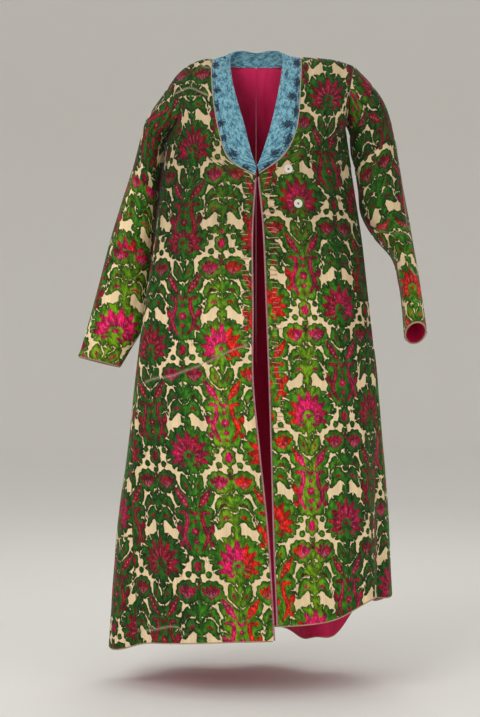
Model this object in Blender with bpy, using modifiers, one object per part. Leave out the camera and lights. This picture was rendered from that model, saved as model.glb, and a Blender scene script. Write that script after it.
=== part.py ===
"""Uzbek chapan: a long velvet robe with set-in sleeves, side gores and a plush shawl collar.

The robe hangs open and filled out with nobody inside. The frame is in metres, +Z up and the
fronts towards -Y. The origin lies at the base of the neck, level with the shoulders.
"""

import math
from collections import namedtuple

import bpy
import numpy as np

MM = 0.001

# Cloth and seams, in metres.
VELVET = 0.0020
LINING = 0.0008
PLUSH = 0.0030
SEAM_GAP = 0.0004
WIDE_GAP = 0.0010
BAND_WIDTH = 0.0030
HEM_BAND_WIDTH = 0.0022
BAND_PROUD = 0.0002
CORD_RADIUS = 0.0008
BUTTON_RADIUS = 0.0085
BUTTON_THICKNESS = 0.0026
BUTTON_HOLE_RADIUS = 0.0009
BUTTON_HOLE_REACH = 0.0018
BUTTON_STAND = 0.0006
COLLAR_BULGE = 0.0030
LENGTH_STEP = 0.02
SIDE_STEP = 0.02
SLEEVE_LEAN = 1.1
EDGING_TOP = 4.06
STEP = 1e-3

# Levels down the body: 0 is the shoulder line and 10 the hem.
UNDERARM = 4
BACK_NECK = 3
WAIST_SEAM = 5
GORE_TOP = 5.5
GORE_SEAM = 9
HEM = 10
BODY_LEVELS = [0, 0.5, 1, 1.5, 2, 2.5, 3, 3.5, 4, 4.5, 5, GORE_TOP - 0.04]
BODY_LEVELS += [GORE_TOP + n / 2 for n in range(10)]
PANEL_COLUMNS = 9
GORE_COLUMNS = 6

# The gore's half width, as a share of the quarter of the robe that it is let into.
GORE_POINT = 0.006
GORE_SPREAD = 0.36

# A level of one quarter, in millimetres: the cloth runs from its inner edge (the front edge,
# the neck or the centre back) to its side (the armhole, then the side seam). round_ is 0 for
# a straight run and 1 for a quarter of an ellipse; fall is the power its height follows.
Level = namedtuple("Level", "edge_x edge_y edge_z side_x side_y side_z round_ fall")

FRONT = {
    -1: [
        Level(-88, 2, 0, -179, 8, -58, 0.0, 2.6),
        Level(-88, -50, -60, -168, -27, -74, 0.35, 2.0),
        Level(-77, -88, -142, -151, -50, -99, 0.6, 1.6),
        Level(-55, -107, -210, -158, -38, -127, 0.8, 1.4),
        Level(-4, -113, -243, -176, 2, -141, 1.0, 1.4),
        Level(-11, -118, -355, -202, 2, -350, 1.0, 1.4),
        Level(-10, -122, -500, -225, 2, -500, 1.0, 1.4),
        Level(-10, -132, -640, -241, 2, -640, 1.0, 1.4),
        Level(3, -146, -780, -256, 2, -790, 1.0, 1.4),
        Level(19, -168, -940, -274, 2, -936, 1.0, 1.4),
        Level(30, -190, -1128, -288, 2, -1162, 1.0, 1.4),
    ],
    1: [
        Level(88, 2, 3, 195, 8, -12, 0.0, 3.4),
        Level(86, -50, -60, 190, -27, -38, 0.35, 2.0),
        Level(78, -88, -145, 184, -48, -72, 0.6, 1.6),
        Level(52, -107, -203, 182, -38, -105, 0.8, 1.4),
        Level(4, -113, -240, 177, 2, -130, 1.0, 1.4),
        Level(14, -118, -350, 206, 2, -340, 1.0, 1.4),
        Level(20, -122, -500, 223, 2, -490, 1.0, 1.4),
        Level(25, -132, -640, 238, 2, -620, 1.0, 1.4),
        Level(29, -146, -780, 248, 2, -750, 1.0, 1.4),
        Level(33, -168, -935, 257, 2, -890, 1.0, 1.4),
        Level(39, -190, -1100, 262, 2, -1066, 1.0, 1.4),
    ],
}

BACK = {
    -1: [
        Level(-88, 2, 0, -179, 8, -58, 0.0, 2.6),
        Level(-74, 36, -1, -172, 34, -75, 0.3, 1.8),
        Level(-40, 58, -3, -164, 50, -99, 0.5, 1.3),
        Level(0, 64, -4, -166, 38, -127, 0.7, 1.2),
        Level(0, 94, -150, -176, 2, -141, 1.0, 1.4),
        Level(0, 100, -340, -202, 2, -350, 1.0, 1.4),
        Level(0, 108, -495, -225, 2, -500, 1.0, 1.4),
        Level(0, 122, -640, -241, 2, -640, 1.0, 1.4),
        Level(0, 142, -790, -256, 2, -790, 1.0, 1.4),
        Level(0, 168, -960, -274, 2, -936, 1.0, 1.4),
        Level(0, 200, -1170, -288, 2, -1162, 1.0, 1.4),
    ],
    1: [
        Level(88, 2, 3, 195, 8, -12, 0.0, 3.4),
        Level(74, 36, 0, 192, 34, -38, 0.3, 2.0),
        Level(40, 58, -3, 188, 50, -72, 0.5, 1.4),
        Level(0, 64, -4, 184, 38, -105, 0.7, 1.2),
        Level(0, 94, -150, 177, 2, -130, 1.0, 1.4),
        Level(0, 100, -340, 206, 2, -340, 1.0, 1.4),
        Level(0, 108, -495, 223, 2, -490, 1.0, 1.4),
        Level(0, 122, -640, 238, 2, -620, 1.0, 1.4),
        Level(0, 142, -790, 248, 2, -750, 1.0, 1.4),
        Level(0, 168, -960, 257, 2, -890, 1.0, 1.4),
        Level(0, 200, -1170, 262, 2, -1066, 1.0, 1.4),
    ],
}

# How the hem dips and lifts around the ring. around runs from 0 at the left front edge over
# 1 (left side), 2 (centre back) and 3 (right side) to 4 at the right front edge.
Dip = namedtuple("Dip", "around width lower")
HEM_DIPS = [
    Dip(0.80, 0.16, 14),
    Dip(2.28, 0.09, 26),
    Dip(2.44, 0.09, 38),
    Dip(2.64, 0.13, -30),
    Dip(3.40, 0.20, -24),
]

# Flutes, soft folds that open towards the hem: out is how far one stands out there, and
# from_z the height where it starts.
Flute = namedtuple("Flute", "around width out from_z")
FLUTES = [
    Flute(0.34, 0.15, 8, -620),
    Flute(0.62, 0.12, -9, -560),
    Flute(0.88, 0.12, 8, -480),
    Flute(1.18, 0.12, 18, -420),
    Flute(1.42, 0.12, -26, -380),
    Flute(1.66, 0.11, 20, -450),
    Flute(1.88, 0.09, -16, -420),
    Flute(2.08, 0.09, 18, -360),
    Flute(2.33, 0.13, -44, -480),
    Flute(2.58, 0.10, 22, -430),
    Flute(2.80, 0.09, -12, -520),
    Flute(3.04, 0.11, 8, -460),
    Flute(3.24, 0.08, -20, -640),
    Flute(3.42, 0.11, 9, -560),
    Flute(3.72, 0.14, 6, -620),
]

# A ring of a sleeve, in millimetres: its outer and inner points seen from the front, how far
# back its middle lies, and half its depth from front to back.
Ring = namedtuple("Ring", "outer_x outer_z inner_x inner_z middle_y half_depth")
SLEEVE = {
    -1: [
        Ring(-211, -108, -184, -166, 6, 49),
        Ring(-229, -155, -189, -212, 13, 55),
        Ring(-248, -215, -194, -262, 22, 54),
        Ring(-270, -281, -201, -314, 30, 50),
        Ring(-294, -358, -208, -380, 40, 43),
        Ring(-315, -440, -217, -458, 46, 36),
        Ring(-334, -510, -228, -527, 48, 28),
        Ring(-350, -568, -258, -584, 42, 19),
        Ring(-359, -592, -275, -613, 38, 12),
    ],
    1: [
        Ring(228, -48, 188, -150, 5, 48),
        Ring(258, -92, 190, -186, 8, 55),
        Ring(276, -156, 197, -214, 10, 56),
        Ring(288, -225, 204, -258, 8, 54),
        Ring(299, -290, 209, -306, 2, 50),
        Ring(306, -341, 231, -347, -12, 47),
        Ring(311, -388, 267, -390, -34, 45),
        Ring(317, -448, 280, -449, -66, 43),
        Ring(322, -504, 283, -505, -98, 42),
        Ring(325, -546, 284, -547, -122, 41),
    ],
}
SLEEVE_SIDES = 4 * UNDERARM
SLEEVE_ROWS = 1.6

# Where each sleeve is pieced, in rings from the armhole at 0.
SLEEVE_PIECES = {
    "head": {-1: (0, 1.1), 1: (0, 1.1)},
    "upper": {-1: (1.1, 3), 1: (1.1, 3)},
    "elbow": {-1: (3, 5.1), 1: (3, 6)},
    "forearm": {-1: (5.1, 9), 1: (6, 10)},
}

# The neck edge of the collar at each level from the shoulder to where the fronts meet.
COLLAR_NECK = {
    -1: [(-53, 18, -4), (-45, -42, -62), (-26, -80, -135), (-11.5, -103, -196), (-0.7, -112, -229)],
    1: [(53, 18, -2), (44, -42, -62), (28, -80, -138), (10.6, -103, -197), (0.7, -112, -224)],
}
# The standing edge of the neck band, from the left end round the back to the right end.
BAND_TOP = [(-53, 18, -4), (-50, 37, 21), (-28, 50, 28), (0, 54, 24), (28, 50, 28), (50, 37, 22), (53, 18, -2)]

# Button middles, seen from the front.
BUTTONS = {"upper": (0.0604, -0.231), "lower": (0.0786, -0.298)}

COLOURS = {
    "velvet": (0.10, 0.17, 0.03, 1.0),
    "lining": (0.38, 0.01, 0.05, 1.0),
    "plush": (0.10, 0.33, 0.48, 1.0),
    "edging": (0.60, 0.45, 0.45, 1.0),
    "button": (0.85, 0.84, 0.80, 1.0),
}


def clear_scene():
    for thing in list(bpy.data.objects):
        bpy.data.objects.remove(thing, do_unlink=True)


def material(name, roughness=0.85):
    made = bpy.data.materials.get(name) or bpy.data.materials.new(name)
    made.use_nodes = True
    shader = made.node_tree.nodes["Principled BSDF"]
    shader.inputs["Base Color"].default_value = COLOURS[name]
    shader.inputs["Roughness"].default_value = roughness
    shader.inputs["Metallic"].default_value = 0.0
    return made


def spline(before, start, end, after, along):
    """Catmull-Rom between start and end."""
    cubic = 3 * (start - end) + after - before
    square = 2 * before - 5 * start + 4 * end - after
    return start + 0.5 * along * ((end - before) + along * (square + along * cubic))


def smooth(value):
    clipped = np.clip(value, 0, 1)
    return clipped * clipped * (3 - 2 * clipped)


def padded_levels(levels, beyond):
    """The table with one more row at each end, so that the spline has a neighbour there."""
    rows = np.array(levels, float)
    return np.vstack([beyond, rows, 2 * rows[-1] - rows[-2]])


LEVELS = {
    (side, front): padded_levels(
        (FRONT if front else BACK)[side], (BACK if front else FRONT)[side][1]
    )
    for side in (-1, 1)
    for front in (True, False)
}


def level_points(rows, across):
    """Points on one level, across being 0 at the inner edge and 1 at the side."""
    edge, side = rows[..., 0:3], rows[..., 3:6]
    round_, fall = rows[..., 6], rows[..., 7]
    angle = across * math.pi / 2
    share = np.stack(
        [
            across + round_ * (np.sin(angle) - across),
            across + round_ * (1 - np.cos(angle) - across),
            across**fall,
        ],
        axis=-1,
    )
    return (edge + (side - edge) * share) * MM


def ring_place(side, around):
    return around if side < 0 else 4 - around


def bump(table, place, column):
    """The sum of the table's soft bumps at these places round the ring."""
    total = np.zeros_like(place)
    for row in table:
        total += getattr(row, column) * MM * np.exp(-(((place - row.around) / row.width) ** 2))
    return total


def fluting(place, height):
    total = np.zeros_like(place)
    for row in FLUTES:
        start = row.from_z * MM
        opened = smooth((start - height) / (start - BACK[-1][-1].edge_z * MM)) ** 1.2
        total += row.out * MM * opened * np.exp(-(((place - row.around) / row.width) ** 2))
    return total


def sharpness(across, row, corner):
    """1 where a seam line turns a corner: at the foot of the neckline, and at the underarm."""
    inner = (1 - smooth(2 * across)) * (row == corner)
    outer = (1 - smooth(2 - 2 * across)) * (row == UNDERARM)
    return (inner + outer)[..., None]


def body(side, around, level):
    """Outer face of the robe: around is 0 at the front edge, 1 at the side, 2 at centre back."""
    around, level = np.broadcast_arrays(np.asarray(around, float), np.asarray(level, float))
    in_front = (around <= 1) ^ (level < 0)
    level = np.abs(level)
    across = np.clip(np.where(around <= 1, around, 2 - around), 0, 1)
    row = np.clip(np.floor(level), 0, HEM - 1).astype(int)
    along = (level - row)[..., None]
    points = []
    for front, corner in ((True, UNDERARM), (False, BACK_NECK)):
        rows = LEVELS[side, front]
        before, start, end, after = [level_points(rows[row + n], across) for n in range(4)]
        before = before + sharpness(across, row, corner) * (2 * start - end - before)
        after = after + sharpness(across, row + 1, corner) * (2 * end - start - after)
        points.append(spline(before, start, end, after, along))
    point = np.where(in_front[..., None], points[0], points[1])
    place = ring_place(side, around)
    low = smooth((level - 7) / 3)
    point[..., 2] -= low * bump(HEM_DIPS, place, "lower")
    width = np.abs(LEVELS[side, True][row + 1, 3]) * MM
    depth = 0.6 * width
    outward = np.stack([point[..., 0] / width**2, point[..., 1] / depth**2, 0 * width], axis=-1)
    outward /= np.linalg.norm(outward, axis=-1, keepdims=True)
    return point + outward * fluting(place, point[..., 2])[..., None]


def unit(vectors):
    return vectors / np.linalg.norm(vectors, axis=-1, keepdims=True)


def body_normal(side, around, level):
    """Outward normal; across the armhole it looks at its own panel only."""
    around, level = np.broadcast_arrays(np.asarray(around, float), np.asarray(level, float))
    apart = level < UNDERARM
    low = np.where(apart & (around > 1), 1 + STEP, 0)
    high = np.where(apart & (around <= 1), 1, 2)
    before = np.clip(around - STEP, low, high)
    after = np.clip(around + STEP, low, high)
    across = body(side, after, level) - body(side, before, level)
    down = body(side, around, level + STEP) - body(side, around, level - STEP)
    return unit(np.cross(across, down)) * -side


def gore_share(level):
    opened = np.clip((np.asarray(level, float) - GORE_TOP) / (HEM - GORE_TOP), 0, 1)
    inside = np.asarray(level, float) >= GORE_TOP
    return np.where(inside, GORE_POINT + GORE_SPREAD * opened, 0)


def pull_in(outer, inner, gaps, gap=SEAM_GAP):
    """Moves the rows and columns on the border inwards by half a seam gap, where asked."""
    for grid in (outer, inner):
        steps = []
        for name, line, beside in (
            ("first", np.s_[:, 0], np.s_[:, 1]),
            ("last", np.s_[:, -1], np.s_[:, -2]),
            ("top", np.s_[0], np.s_[1]),
            ("foot", np.s_[-1], np.s_[-2]),
        ):
            if name in gaps:
                steps.append((line, unit(outer[beside] - outer[line]) * gap / 2))
        for line, move in steps:
            grid[line] += move
    return outer, inner


def shell_mesh(name, outer, inner, flip, wraps=False):
    """A closed wall between two grids of points; wraps joins the last column to the first."""
    rows, columns = outer.shape[:2]
    spans = columns if wraps else columns - 1
    points = np.concatenate([outer.reshape(-1, 3), inner.reshape(-1, 3)])
    under = rows * columns
    faces = []

    def corner(row, column, below):
        return row * columns + column % columns + (under if below else 0)

    for row in range(rows - 1):
        for column in range(spans):
            # Both faces are split along the same diagonal, so that layers stay parallel.
            cell = [(row, column), (row + 1, column), (row + 1, column + 1), (row, column + 1)]
            for half in (cell[:3], cell[2:] + cell[:1]):
                faces.append([corner(*place, False) for place in half])
                faces.append([corner(*place, True) for place in reversed(half)])
    rims = [
        [(0, column) for column in range(spans + 1)],
        [(rows - 1, column) for column in range(spans, -1, -1)],
    ]
    if not wraps:
        rims.append([(row, 0) for row in range(rows - 1, -1, -1)])
        rims.append([(row, columns - 1) for row in range(rows)])
    for rim in rims:
        for here, there in zip(rim, rim[1:]):
            faces.append(
                [corner(*here, False), corner(*there, False), corner(*there, True), corner(*here, True)]
            )
    if flip:
        faces = [face[::-1] for face in faces]
    mesh = bpy.data.meshes.new(name)
    mesh.from_pydata(points.tolist(), [], faces)
    mesh.validate()
    mesh.update()
    return mesh


def add_object(collection, name, mesh, slot, roughness=0.85):
    made = bpy.data.objects.new(name, mesh)
    mesh.materials.append(material(slot, roughness))
    mesh.shade_smooth()
    mesh.set_sharp_from_angle(angle=math.radians(50))
    collection.objects.link(made)
    return made


def panel(collection, name, side, span, levels, gaps, columns=PANEL_COLUMNS, skin=None, slot="velvet"):
    """One cut piece of the body. span gives its first and last place round at each level."""
    levels = np.array(levels, float)
    first, last = span(levels)
    across = np.linspace(0, 1, columns + 1)
    around = first[:, None] + (last - first)[:, None] * across
    level = np.repeat(levels[:, None], columns + 1, axis=1)
    face = body(side, around, level)
    normal = body_normal(side, around, level)
    near, far = skin or (0, VELVET)
    gap = WIDE_GAP if skin else SEAM_GAP
    outer, inner = pull_in(face - near * normal, face - far * normal, gaps, gap)
    return add_object(collection, name, shell_mesh(name, outer, inner, side < 0), slot)


def between(low, high):
    return [level for level in BODY_LEVELS if low <= level <= high]


def front_span(levels):
    return 0 * levels, 1 - gore_share(levels)


def back_span(levels):
    return 1 + np.maximum(gore_share(levels), STEP / 2), 2 + 0 * levels


def gore_span(levels):
    return 1 - gore_share(levels), 1 + gore_share(levels)


def make_body(collection):
    seams = ("first", "last", "top", "foot")
    panel(collection, "front_left_upper", -1, front_span, between(0, WAIST_SEAM), seams)
    panel(collection, "front_left_lower", -1, front_span, between(WAIST_SEAM, HEM), seams)
    panel(collection, "front_right", 1, front_span, BODY_LEVELS, seams)
    panel(collection, "back_left", -1, back_span, BODY_LEVELS, seams)
    panel(collection, "back_right", 1, back_span, BODY_LEVELS, seams)
    upper = between(GORE_TOP, GORE_SEAM)
    lower = between(GORE_SEAM, HEM)
    panel(collection, "gore_left_upper", -1, gore_span, upper, seams, GORE_COLUMNS)
    panel(collection, "gore_left_lower", -1, gore_span, lower, seams, GORE_COLUMNS)
    panel(collection, "gore_right", 1, gore_span, upper[:-1] + lower, seams, GORE_COLUMNS)
    skin = (VELVET + SEAM_GAP, VELVET + SEAM_GAP + LINING)
    for side, word in ((-1, "left"), (1, "right")):
        levels = between(0.5, HEM)
        name = f"lining_back_{word}"
        panel(collection, name, side, back_span, levels, seams, PANEL_COLUMNS, skin, "lining")


def armhole(side, turn):
    """Where the sleeve starts, at each turn from the shoulder tip down the front and up the back."""
    level = UNDERARM * (1 - np.abs(1 - 2 * turn))
    front = turn <= 0.5
    around = np.where(front, 1.0, 1 + STEP)
    edge = body(side, around, level)
    normal = body_normal(side, around, level)
    beside = body(side, np.where(front, 1 - SIDE_STEP, 1 + SIDE_STEP), level)
    away = unit(edge - beside) * (1 - smooth(level - UNDERARM + 1))[:, None]
    return edge + unit(away + normal) * WIDE_GAP, away


def sleeve_rings(side, turn):
    """Every ring of one sleeve at the given turns, the armhole first."""
    table = SLEEVE[side]
    middles = [
        np.array([(row.outer_x + row.inner_x) / 2, row.middle_y, (row.outer_z + row.inner_z) / 2])
        for row in table
    ]
    rings = [armhole(side, turn)[0]]
    angle = 2 * math.pi * turn[:, None]
    for number, row in enumerate(table):
        before = middles[max(number - 1, 0)]
        after = middles[min(number + 1, len(table) - 1)]
        axis = unit(after - before)
        wide = np.array([row.outer_x - row.inner_x, 0, row.outer_z - row.inner_z]) / 2
        deep = unit(np.cross(wide, axis)) * row.half_depth
        if deep[1] > 0:
            deep = -deep
        rings.append((middles[number] + wide * np.cos(angle) + deep * np.sin(angle)) * MM)
    return np.array(rings)


def sleeve_face(side, turn, along):
    """Outer face of a sleeve on a grid of places along it and turns round it."""
    rings = sleeve_rings(side, turn)
    rings = np.concatenate([[2 * rings[0] - rings[1]], rings, [2 * rings[-1] - rings[-2]]])
    row = np.clip(np.floor(along), 0, len(rings) - 4).astype(int)
    share = (along - row)[:, None, None]
    return spline(rings[row], rings[row + 1], rings[row + 2], rings[row + 3], share)


def sleeve_normal(side, turn, along):
    count = len(SLEEVE[side])
    before = sleeve_face(side, turn, np.clip(along - STEP, 0, count))
    after = sleeve_face(side, turn, np.clip(along + STEP, 0, count))
    round_after = sleeve_face(side, (turn + STEP) % 1, along)
    round_before = sleeve_face(side, (turn - STEP) % 1, along)
    return unit(np.cross(round_after - round_before, after - before)) * side


def make_sleeve(collection, side, word):
    turn = np.arange(SLEEVE_SIDES) / SLEEVE_SIDES
    for piece, ends in SLEEVE_PIECES.items():
        start, end = ends[side]
        count = max(2, round((end - start) * SLEEVE_ROWS))
        along = np.linspace(start, end, count + 1)
        outer = sleeve_face(side, turn, along)
        normal = sleeve_normal(side, turn, along)
        gaps = ("top", "foot")
        if start == 0:
            # At the armhole the wall stands clear of the panel's cut edge.
            away = armhole(side, turn)[1]
            lean = np.maximum(np.sum(normal[0] * away, axis=-1, keepdims=True) + SLEEVE_LEAN, 0)
            normal[0] = unit(normal[0] - away * lean)
            gaps = ("foot",)
        outer, inner = pull_in(outer, outer - normal * VELVET, gaps, 2 * SEAM_GAP)
        name = f"sleeve_{word}_{piece}"
        mesh = shell_mesh(name, outer, inner, side > 0, wraps=True)
        add_object(collection, name, mesh, "velvet")
    make_cuff_band(collection, side, word, turn)


def ladder(edge, away, normal, width, wall):
    """Two grids for a flat band that starts at an edge and lies in the cloth's own plane."""
    start = edge + away * SEAM_GAP / 2
    end = edge + away * (SEAM_GAP / 2 + width)
    outer = np.stack([start, end], axis=1) + normal[:, None] * BAND_PROUD
    inner = np.stack([start, end], axis=1) - normal[:, None] * (wall + BAND_PROUD)
    return outer, inner


def make_cuff_band(collection, side, word, turn):
    end = float(len(SLEEVE[side]))
    edge, near = sleeve_face(side, turn, np.array([end, end - LENGTH_STEP]))
    normal = sleeve_normal(side, turn, np.array([end]))[0]
    outer, inner = ladder(edge, unit(edge - near), normal, HEM_BAND_WIDTH, VELVET)
    name = f"edging_cuff_{word}"
    mesh = shell_mesh(name, outer.swapaxes(0, 1), inner.swapaxes(0, 1), side > 0, wraps=True)
    add_object(collection, name, mesh, "edging")


def make_edging(collection):
    """The pale binding down each front edge, and along the hem of each half."""
    for side, word in ((-1, "left"), (1, "right")):
        level = np.array([EDGING_TOP] + between(4.5, HEM))
        edge = body(side, 0 * level, level)
        away = unit(edge - body(side, 0 * level + SIDE_STEP, level))
        normal = body_normal(side, 0 * level, level)
        outer, inner = ladder(edge, away, normal, BAND_WIDTH, VELVET)
        mesh = shell_mesh(f"edging_front_{word}", outer, inner, side > 0)
        add_object(collection, f"edging_front_{word}", mesh, "edging")
        front, gore, back = [
            np.linspace(*(float(end[0]) for end in span(np.array([HEM]))), columns + 1)
            for span, columns in (
                (front_span, PANEL_COLUMNS),
                (gore_span, GORE_COLUMNS),
                (back_span, PANEL_COLUMNS),
            )
        ]
        around = np.concatenate([front, gore[1:-1], back])
        around[0] += 0.002
        around[-1] -= 0.002
        edge = body(side, around, HEM)
        away = unit(edge - body(side, around, HEM - LENGTH_STEP))
        normal = body_normal(side, around, HEM)
        outer, inner = ladder(edge, away, normal, HEM_BAND_WIDTH, VELVET)
        mesh = shell_mesh(f"edging_hem_{word}", outer, inner, side > 0)
        add_object(collection, f"edging_hem_{word}", mesh, "edging")


def through(points, place):
    """A smooth curve through points given in millimetres, read at these places along it."""
    rows = np.array(points, float) * MM
    rows = np.vstack([2 * rows[0] - rows[1], rows, 2 * rows[-1] - rows[-2]])
    row = np.clip(np.floor(place), 0, len(points) - 2).astype(int)
    share = (place - row)[:, None]
    return spline(rows[row], rows[row + 1], rows[row + 2], rows[row + 3], share)


def band_grids(sewn, free, sewn_normal, columns, wall, bulge, flip):
    """A padded band between its sewn edge and its free edge."""
    across = np.linspace(0, 1, columns + 1)[None, :, None]
    flat = sewn[:, None] + (free - sewn)[:, None] * across
    along = np.gradient(flat, axis=0)
    normal = unit(np.cross((free - sewn)[:, None] + 0 * flat, along)) * (-1 if flip else 1)
    normal = unit(normal + (1 - across) ** 2 * 2 * sewn_normal[:, None])
    outer = flat + normal * bulge * 4 * across * (1 - across)
    return outer, outer - normal * wall


def make_collar(collection):
    for side, word in ((-1, "left"), (1, "right")):
        level = np.array(between(0, UNDERARM))
        sewn = body(side, 0 * level, level)
        normal = body_normal(side, 0 * level, level)
        free = through(COLLAR_NECK[side], level)
        outer, inner = band_grids(sewn, free, normal, 4, PLUSH, COLLAR_BULGE, side < 0)
        outer, inner = pull_in(outer, inner, ("first", "top"), WIDE_GAP)
        name = f"collar_{word}"
        mesh = shell_mesh(name, outer, inner, side > 0)
        add_object(collection, name, mesh, "plush", 0.7)
        make_cord(collection, f"collar_cord_{word}", sewn + normal * (CORD_RADIUS + SEAM_GAP))
    make_neck_band(collection)


def make_neck_band(collection):
    half = np.array(between(0, BACK_NECK))
    left = body(-1, 2 + 0 * half, half)
    right = body(1, 2 + 0 * half, half)[::-1]
    left_normal = body_normal(-1, 2 + 0 * half, half)
    right_normal = body_normal(1, 2 + 0 * half, half)[::-1]
    sewn = np.concatenate([left, right[1:]])
    normal = np.concatenate([left_normal, right_normal[1:]])
    free = through(BAND_TOP, np.linspace(0, len(BAND_TOP) - 1, len(sewn)))
    outer, inner = band_grids(sewn, free, normal, 4, PLUSH, COLLAR_BULGE, False)
    outer, inner = pull_in(outer, inner, ("first", "top", "foot"), WIDE_GAP)
    add_object(collection, "collar_back", shell_mesh("collar_back", outer, inner, True), "plush", 0.7)


def make_cord(collection, name, points):
    """A round cord as a curve with filled caps, made a mesh so that its caps are welded."""
    curve = bpy.data.curves.new(name, "CURVE")
    curve.dimensions = "3D"
    curve.bevel_depth = CORD_RADIUS
    curve.bevel_resolution = 1
    curve.use_fill_caps = True
    run = curve.splines.new("POLY")
    run.points.add(len(points) - 1)
    for place, point in zip(run.points, points):
        place.co = (*point, 1)
    made = bpy.data.objects.new(name, curve)
    curve.materials.append(material("edging"))
    collection.objects.link(made)
    return made


def front_point(side, x, z):
    """The point of a front that is seen at x and z, with its normal."""
    around, level = np.meshgrid(np.linspace(0, 1, 201), np.linspace(2, 7, 501))
    points = body(side, around, level)
    miss = (points[..., 0] - x) ** 2 + (points[..., 2] - z) ** 2
    best = np.unravel_index(np.argmin(miss), miss.shape)
    return points[best], body_normal(side, around[best], level[best])


def make_button(collection, name, x, z):
    """A round four-hole button: a turned disc with a raised rim, drilled through."""
    point, normal = front_point(1, x, z)
    half = BUTTON_THICKNESS / 2
    dish = BUTTON_RADIUS * 0.62
    profile = [
        (0, half * 0.45),
        (dish, half * 0.45),
        (BUTTON_RADIUS * 0.8, half),
        (BUTTON_RADIUS - half * 0.5, half * 0.9),
        (BUTTON_RADIUS, 0),
        (BUTTON_RADIUS - half * 0.5, -half * 0.9),
        (0, -half),
    ]
    mesh = bpy.data.meshes.new(name)
    edges = [(n, n + 1) for n in range(len(profile) - 1)]
    mesh.from_pydata([(radius, 0, height) for radius, height in profile], edges, [])
    button = bpy.data.objects.new(name, mesh)
    collection.objects.link(button)
    turned = button.modifiers.new("turn", "SCREW")
    turned.steps = 24
    turned.render_steps = 24
    turned.use_merge_vertices = True
    turned.merge_threshold = 0.00001
    rest = point + normal * (half + BUTTON_STAND)
    z_axis = normal
    x_axis = unit(np.cross((0, 0, 1), z_axis))
    y_axis = np.cross(z_axis, x_axis)
    for column, axis in enumerate((x_axis, y_axis, z_axis)):
        for row in range(3):
            button.matrix_world[row][column] = axis[row]
    button.location = rest.tolist()
    drills = bpy.data.collections.new(f"{name}_drills")
    for number in range(4):
        turn = math.radians(45 + 90 * number)
        across = x_axis * math.cos(turn) + y_axis * math.sin(turn)
        place = rest + across * BUTTON_HOLE_REACH
        bpy.ops.mesh.primitive_cylinder_add(
            vertices=8,
            radius=BUTTON_HOLE_RADIUS,
            depth=4 * BUTTON_THICKNESS,
            location=place.tolist(),
            rotation=button.matrix_world.to_euler(),
        )
        drill = bpy.context.active_object
        drill.name = f"{name}_drill_{number + 1}"
        drill.hide_render = True
        drill.display_type = "WIRE"
        for owner in list(drill.users_collection):
            owner.objects.unlink(drill)
        drills.objects.link(drill)
    bpy.context.scene.collection.children.link(drills)
    drills.hide_render = True
    cut = button.modifiers.new("holes", "BOOLEAN")
    cut.operation = "DIFFERENCE"
    cut.operand_type = "COLLECTION"
    cut.collection = drills
    mesh.materials.append(material("button", 0.3))


def main():
    clear_scene()
    robe = bpy.data.collections.new("uzbek_chapan")
    bpy.context.scene.collection.children.link(robe)
    make_body(robe)
    for side, word in ((-1, "left"), (1, "right")):
        make_sleeve(robe, side, word)
    make_edging(robe)
    make_collar(robe)
    for word, (x, z) in BUTTONS.items():
        make_button(robe, f"button_{word}", x, z)


main()
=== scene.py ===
import math
from collections import namedtuple

import bpy
import numpy as np
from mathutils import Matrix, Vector


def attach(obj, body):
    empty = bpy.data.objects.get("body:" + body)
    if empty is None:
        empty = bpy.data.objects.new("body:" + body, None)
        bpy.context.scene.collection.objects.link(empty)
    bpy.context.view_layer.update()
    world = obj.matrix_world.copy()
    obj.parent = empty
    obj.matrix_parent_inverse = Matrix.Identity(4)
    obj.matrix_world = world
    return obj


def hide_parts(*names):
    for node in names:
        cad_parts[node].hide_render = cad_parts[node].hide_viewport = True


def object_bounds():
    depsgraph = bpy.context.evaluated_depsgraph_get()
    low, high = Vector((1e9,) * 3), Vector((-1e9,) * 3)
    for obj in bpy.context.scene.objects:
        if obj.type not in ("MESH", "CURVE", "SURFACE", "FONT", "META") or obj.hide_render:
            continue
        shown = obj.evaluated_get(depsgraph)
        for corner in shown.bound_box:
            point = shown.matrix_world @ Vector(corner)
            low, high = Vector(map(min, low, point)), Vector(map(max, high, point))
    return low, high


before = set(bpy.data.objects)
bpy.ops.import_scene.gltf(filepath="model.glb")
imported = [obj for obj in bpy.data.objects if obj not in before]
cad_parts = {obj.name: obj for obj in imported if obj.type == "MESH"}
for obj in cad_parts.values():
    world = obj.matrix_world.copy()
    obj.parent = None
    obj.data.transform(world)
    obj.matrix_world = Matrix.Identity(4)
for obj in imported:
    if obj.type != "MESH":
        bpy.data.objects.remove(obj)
cadBox = [[float(x) for x in corner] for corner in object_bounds()]
print("frame loaded")

mm = 0.001

# levels run from 0 at the shoulder line to 10 at the hem
robe = {
    "underarm": 4,
    "backNeck": 3,
    "goreTop": 5.5,
    "hem": 10,
    "gorePoint": 0.006,
    "goreSpread": 0.36,
    "wall": 0.0020,
    "liningGap": 0.0004,
    "liningWall": 0.0008,
    "seamGap": 0.0004,
    "cell": 0.0025,
}

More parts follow.
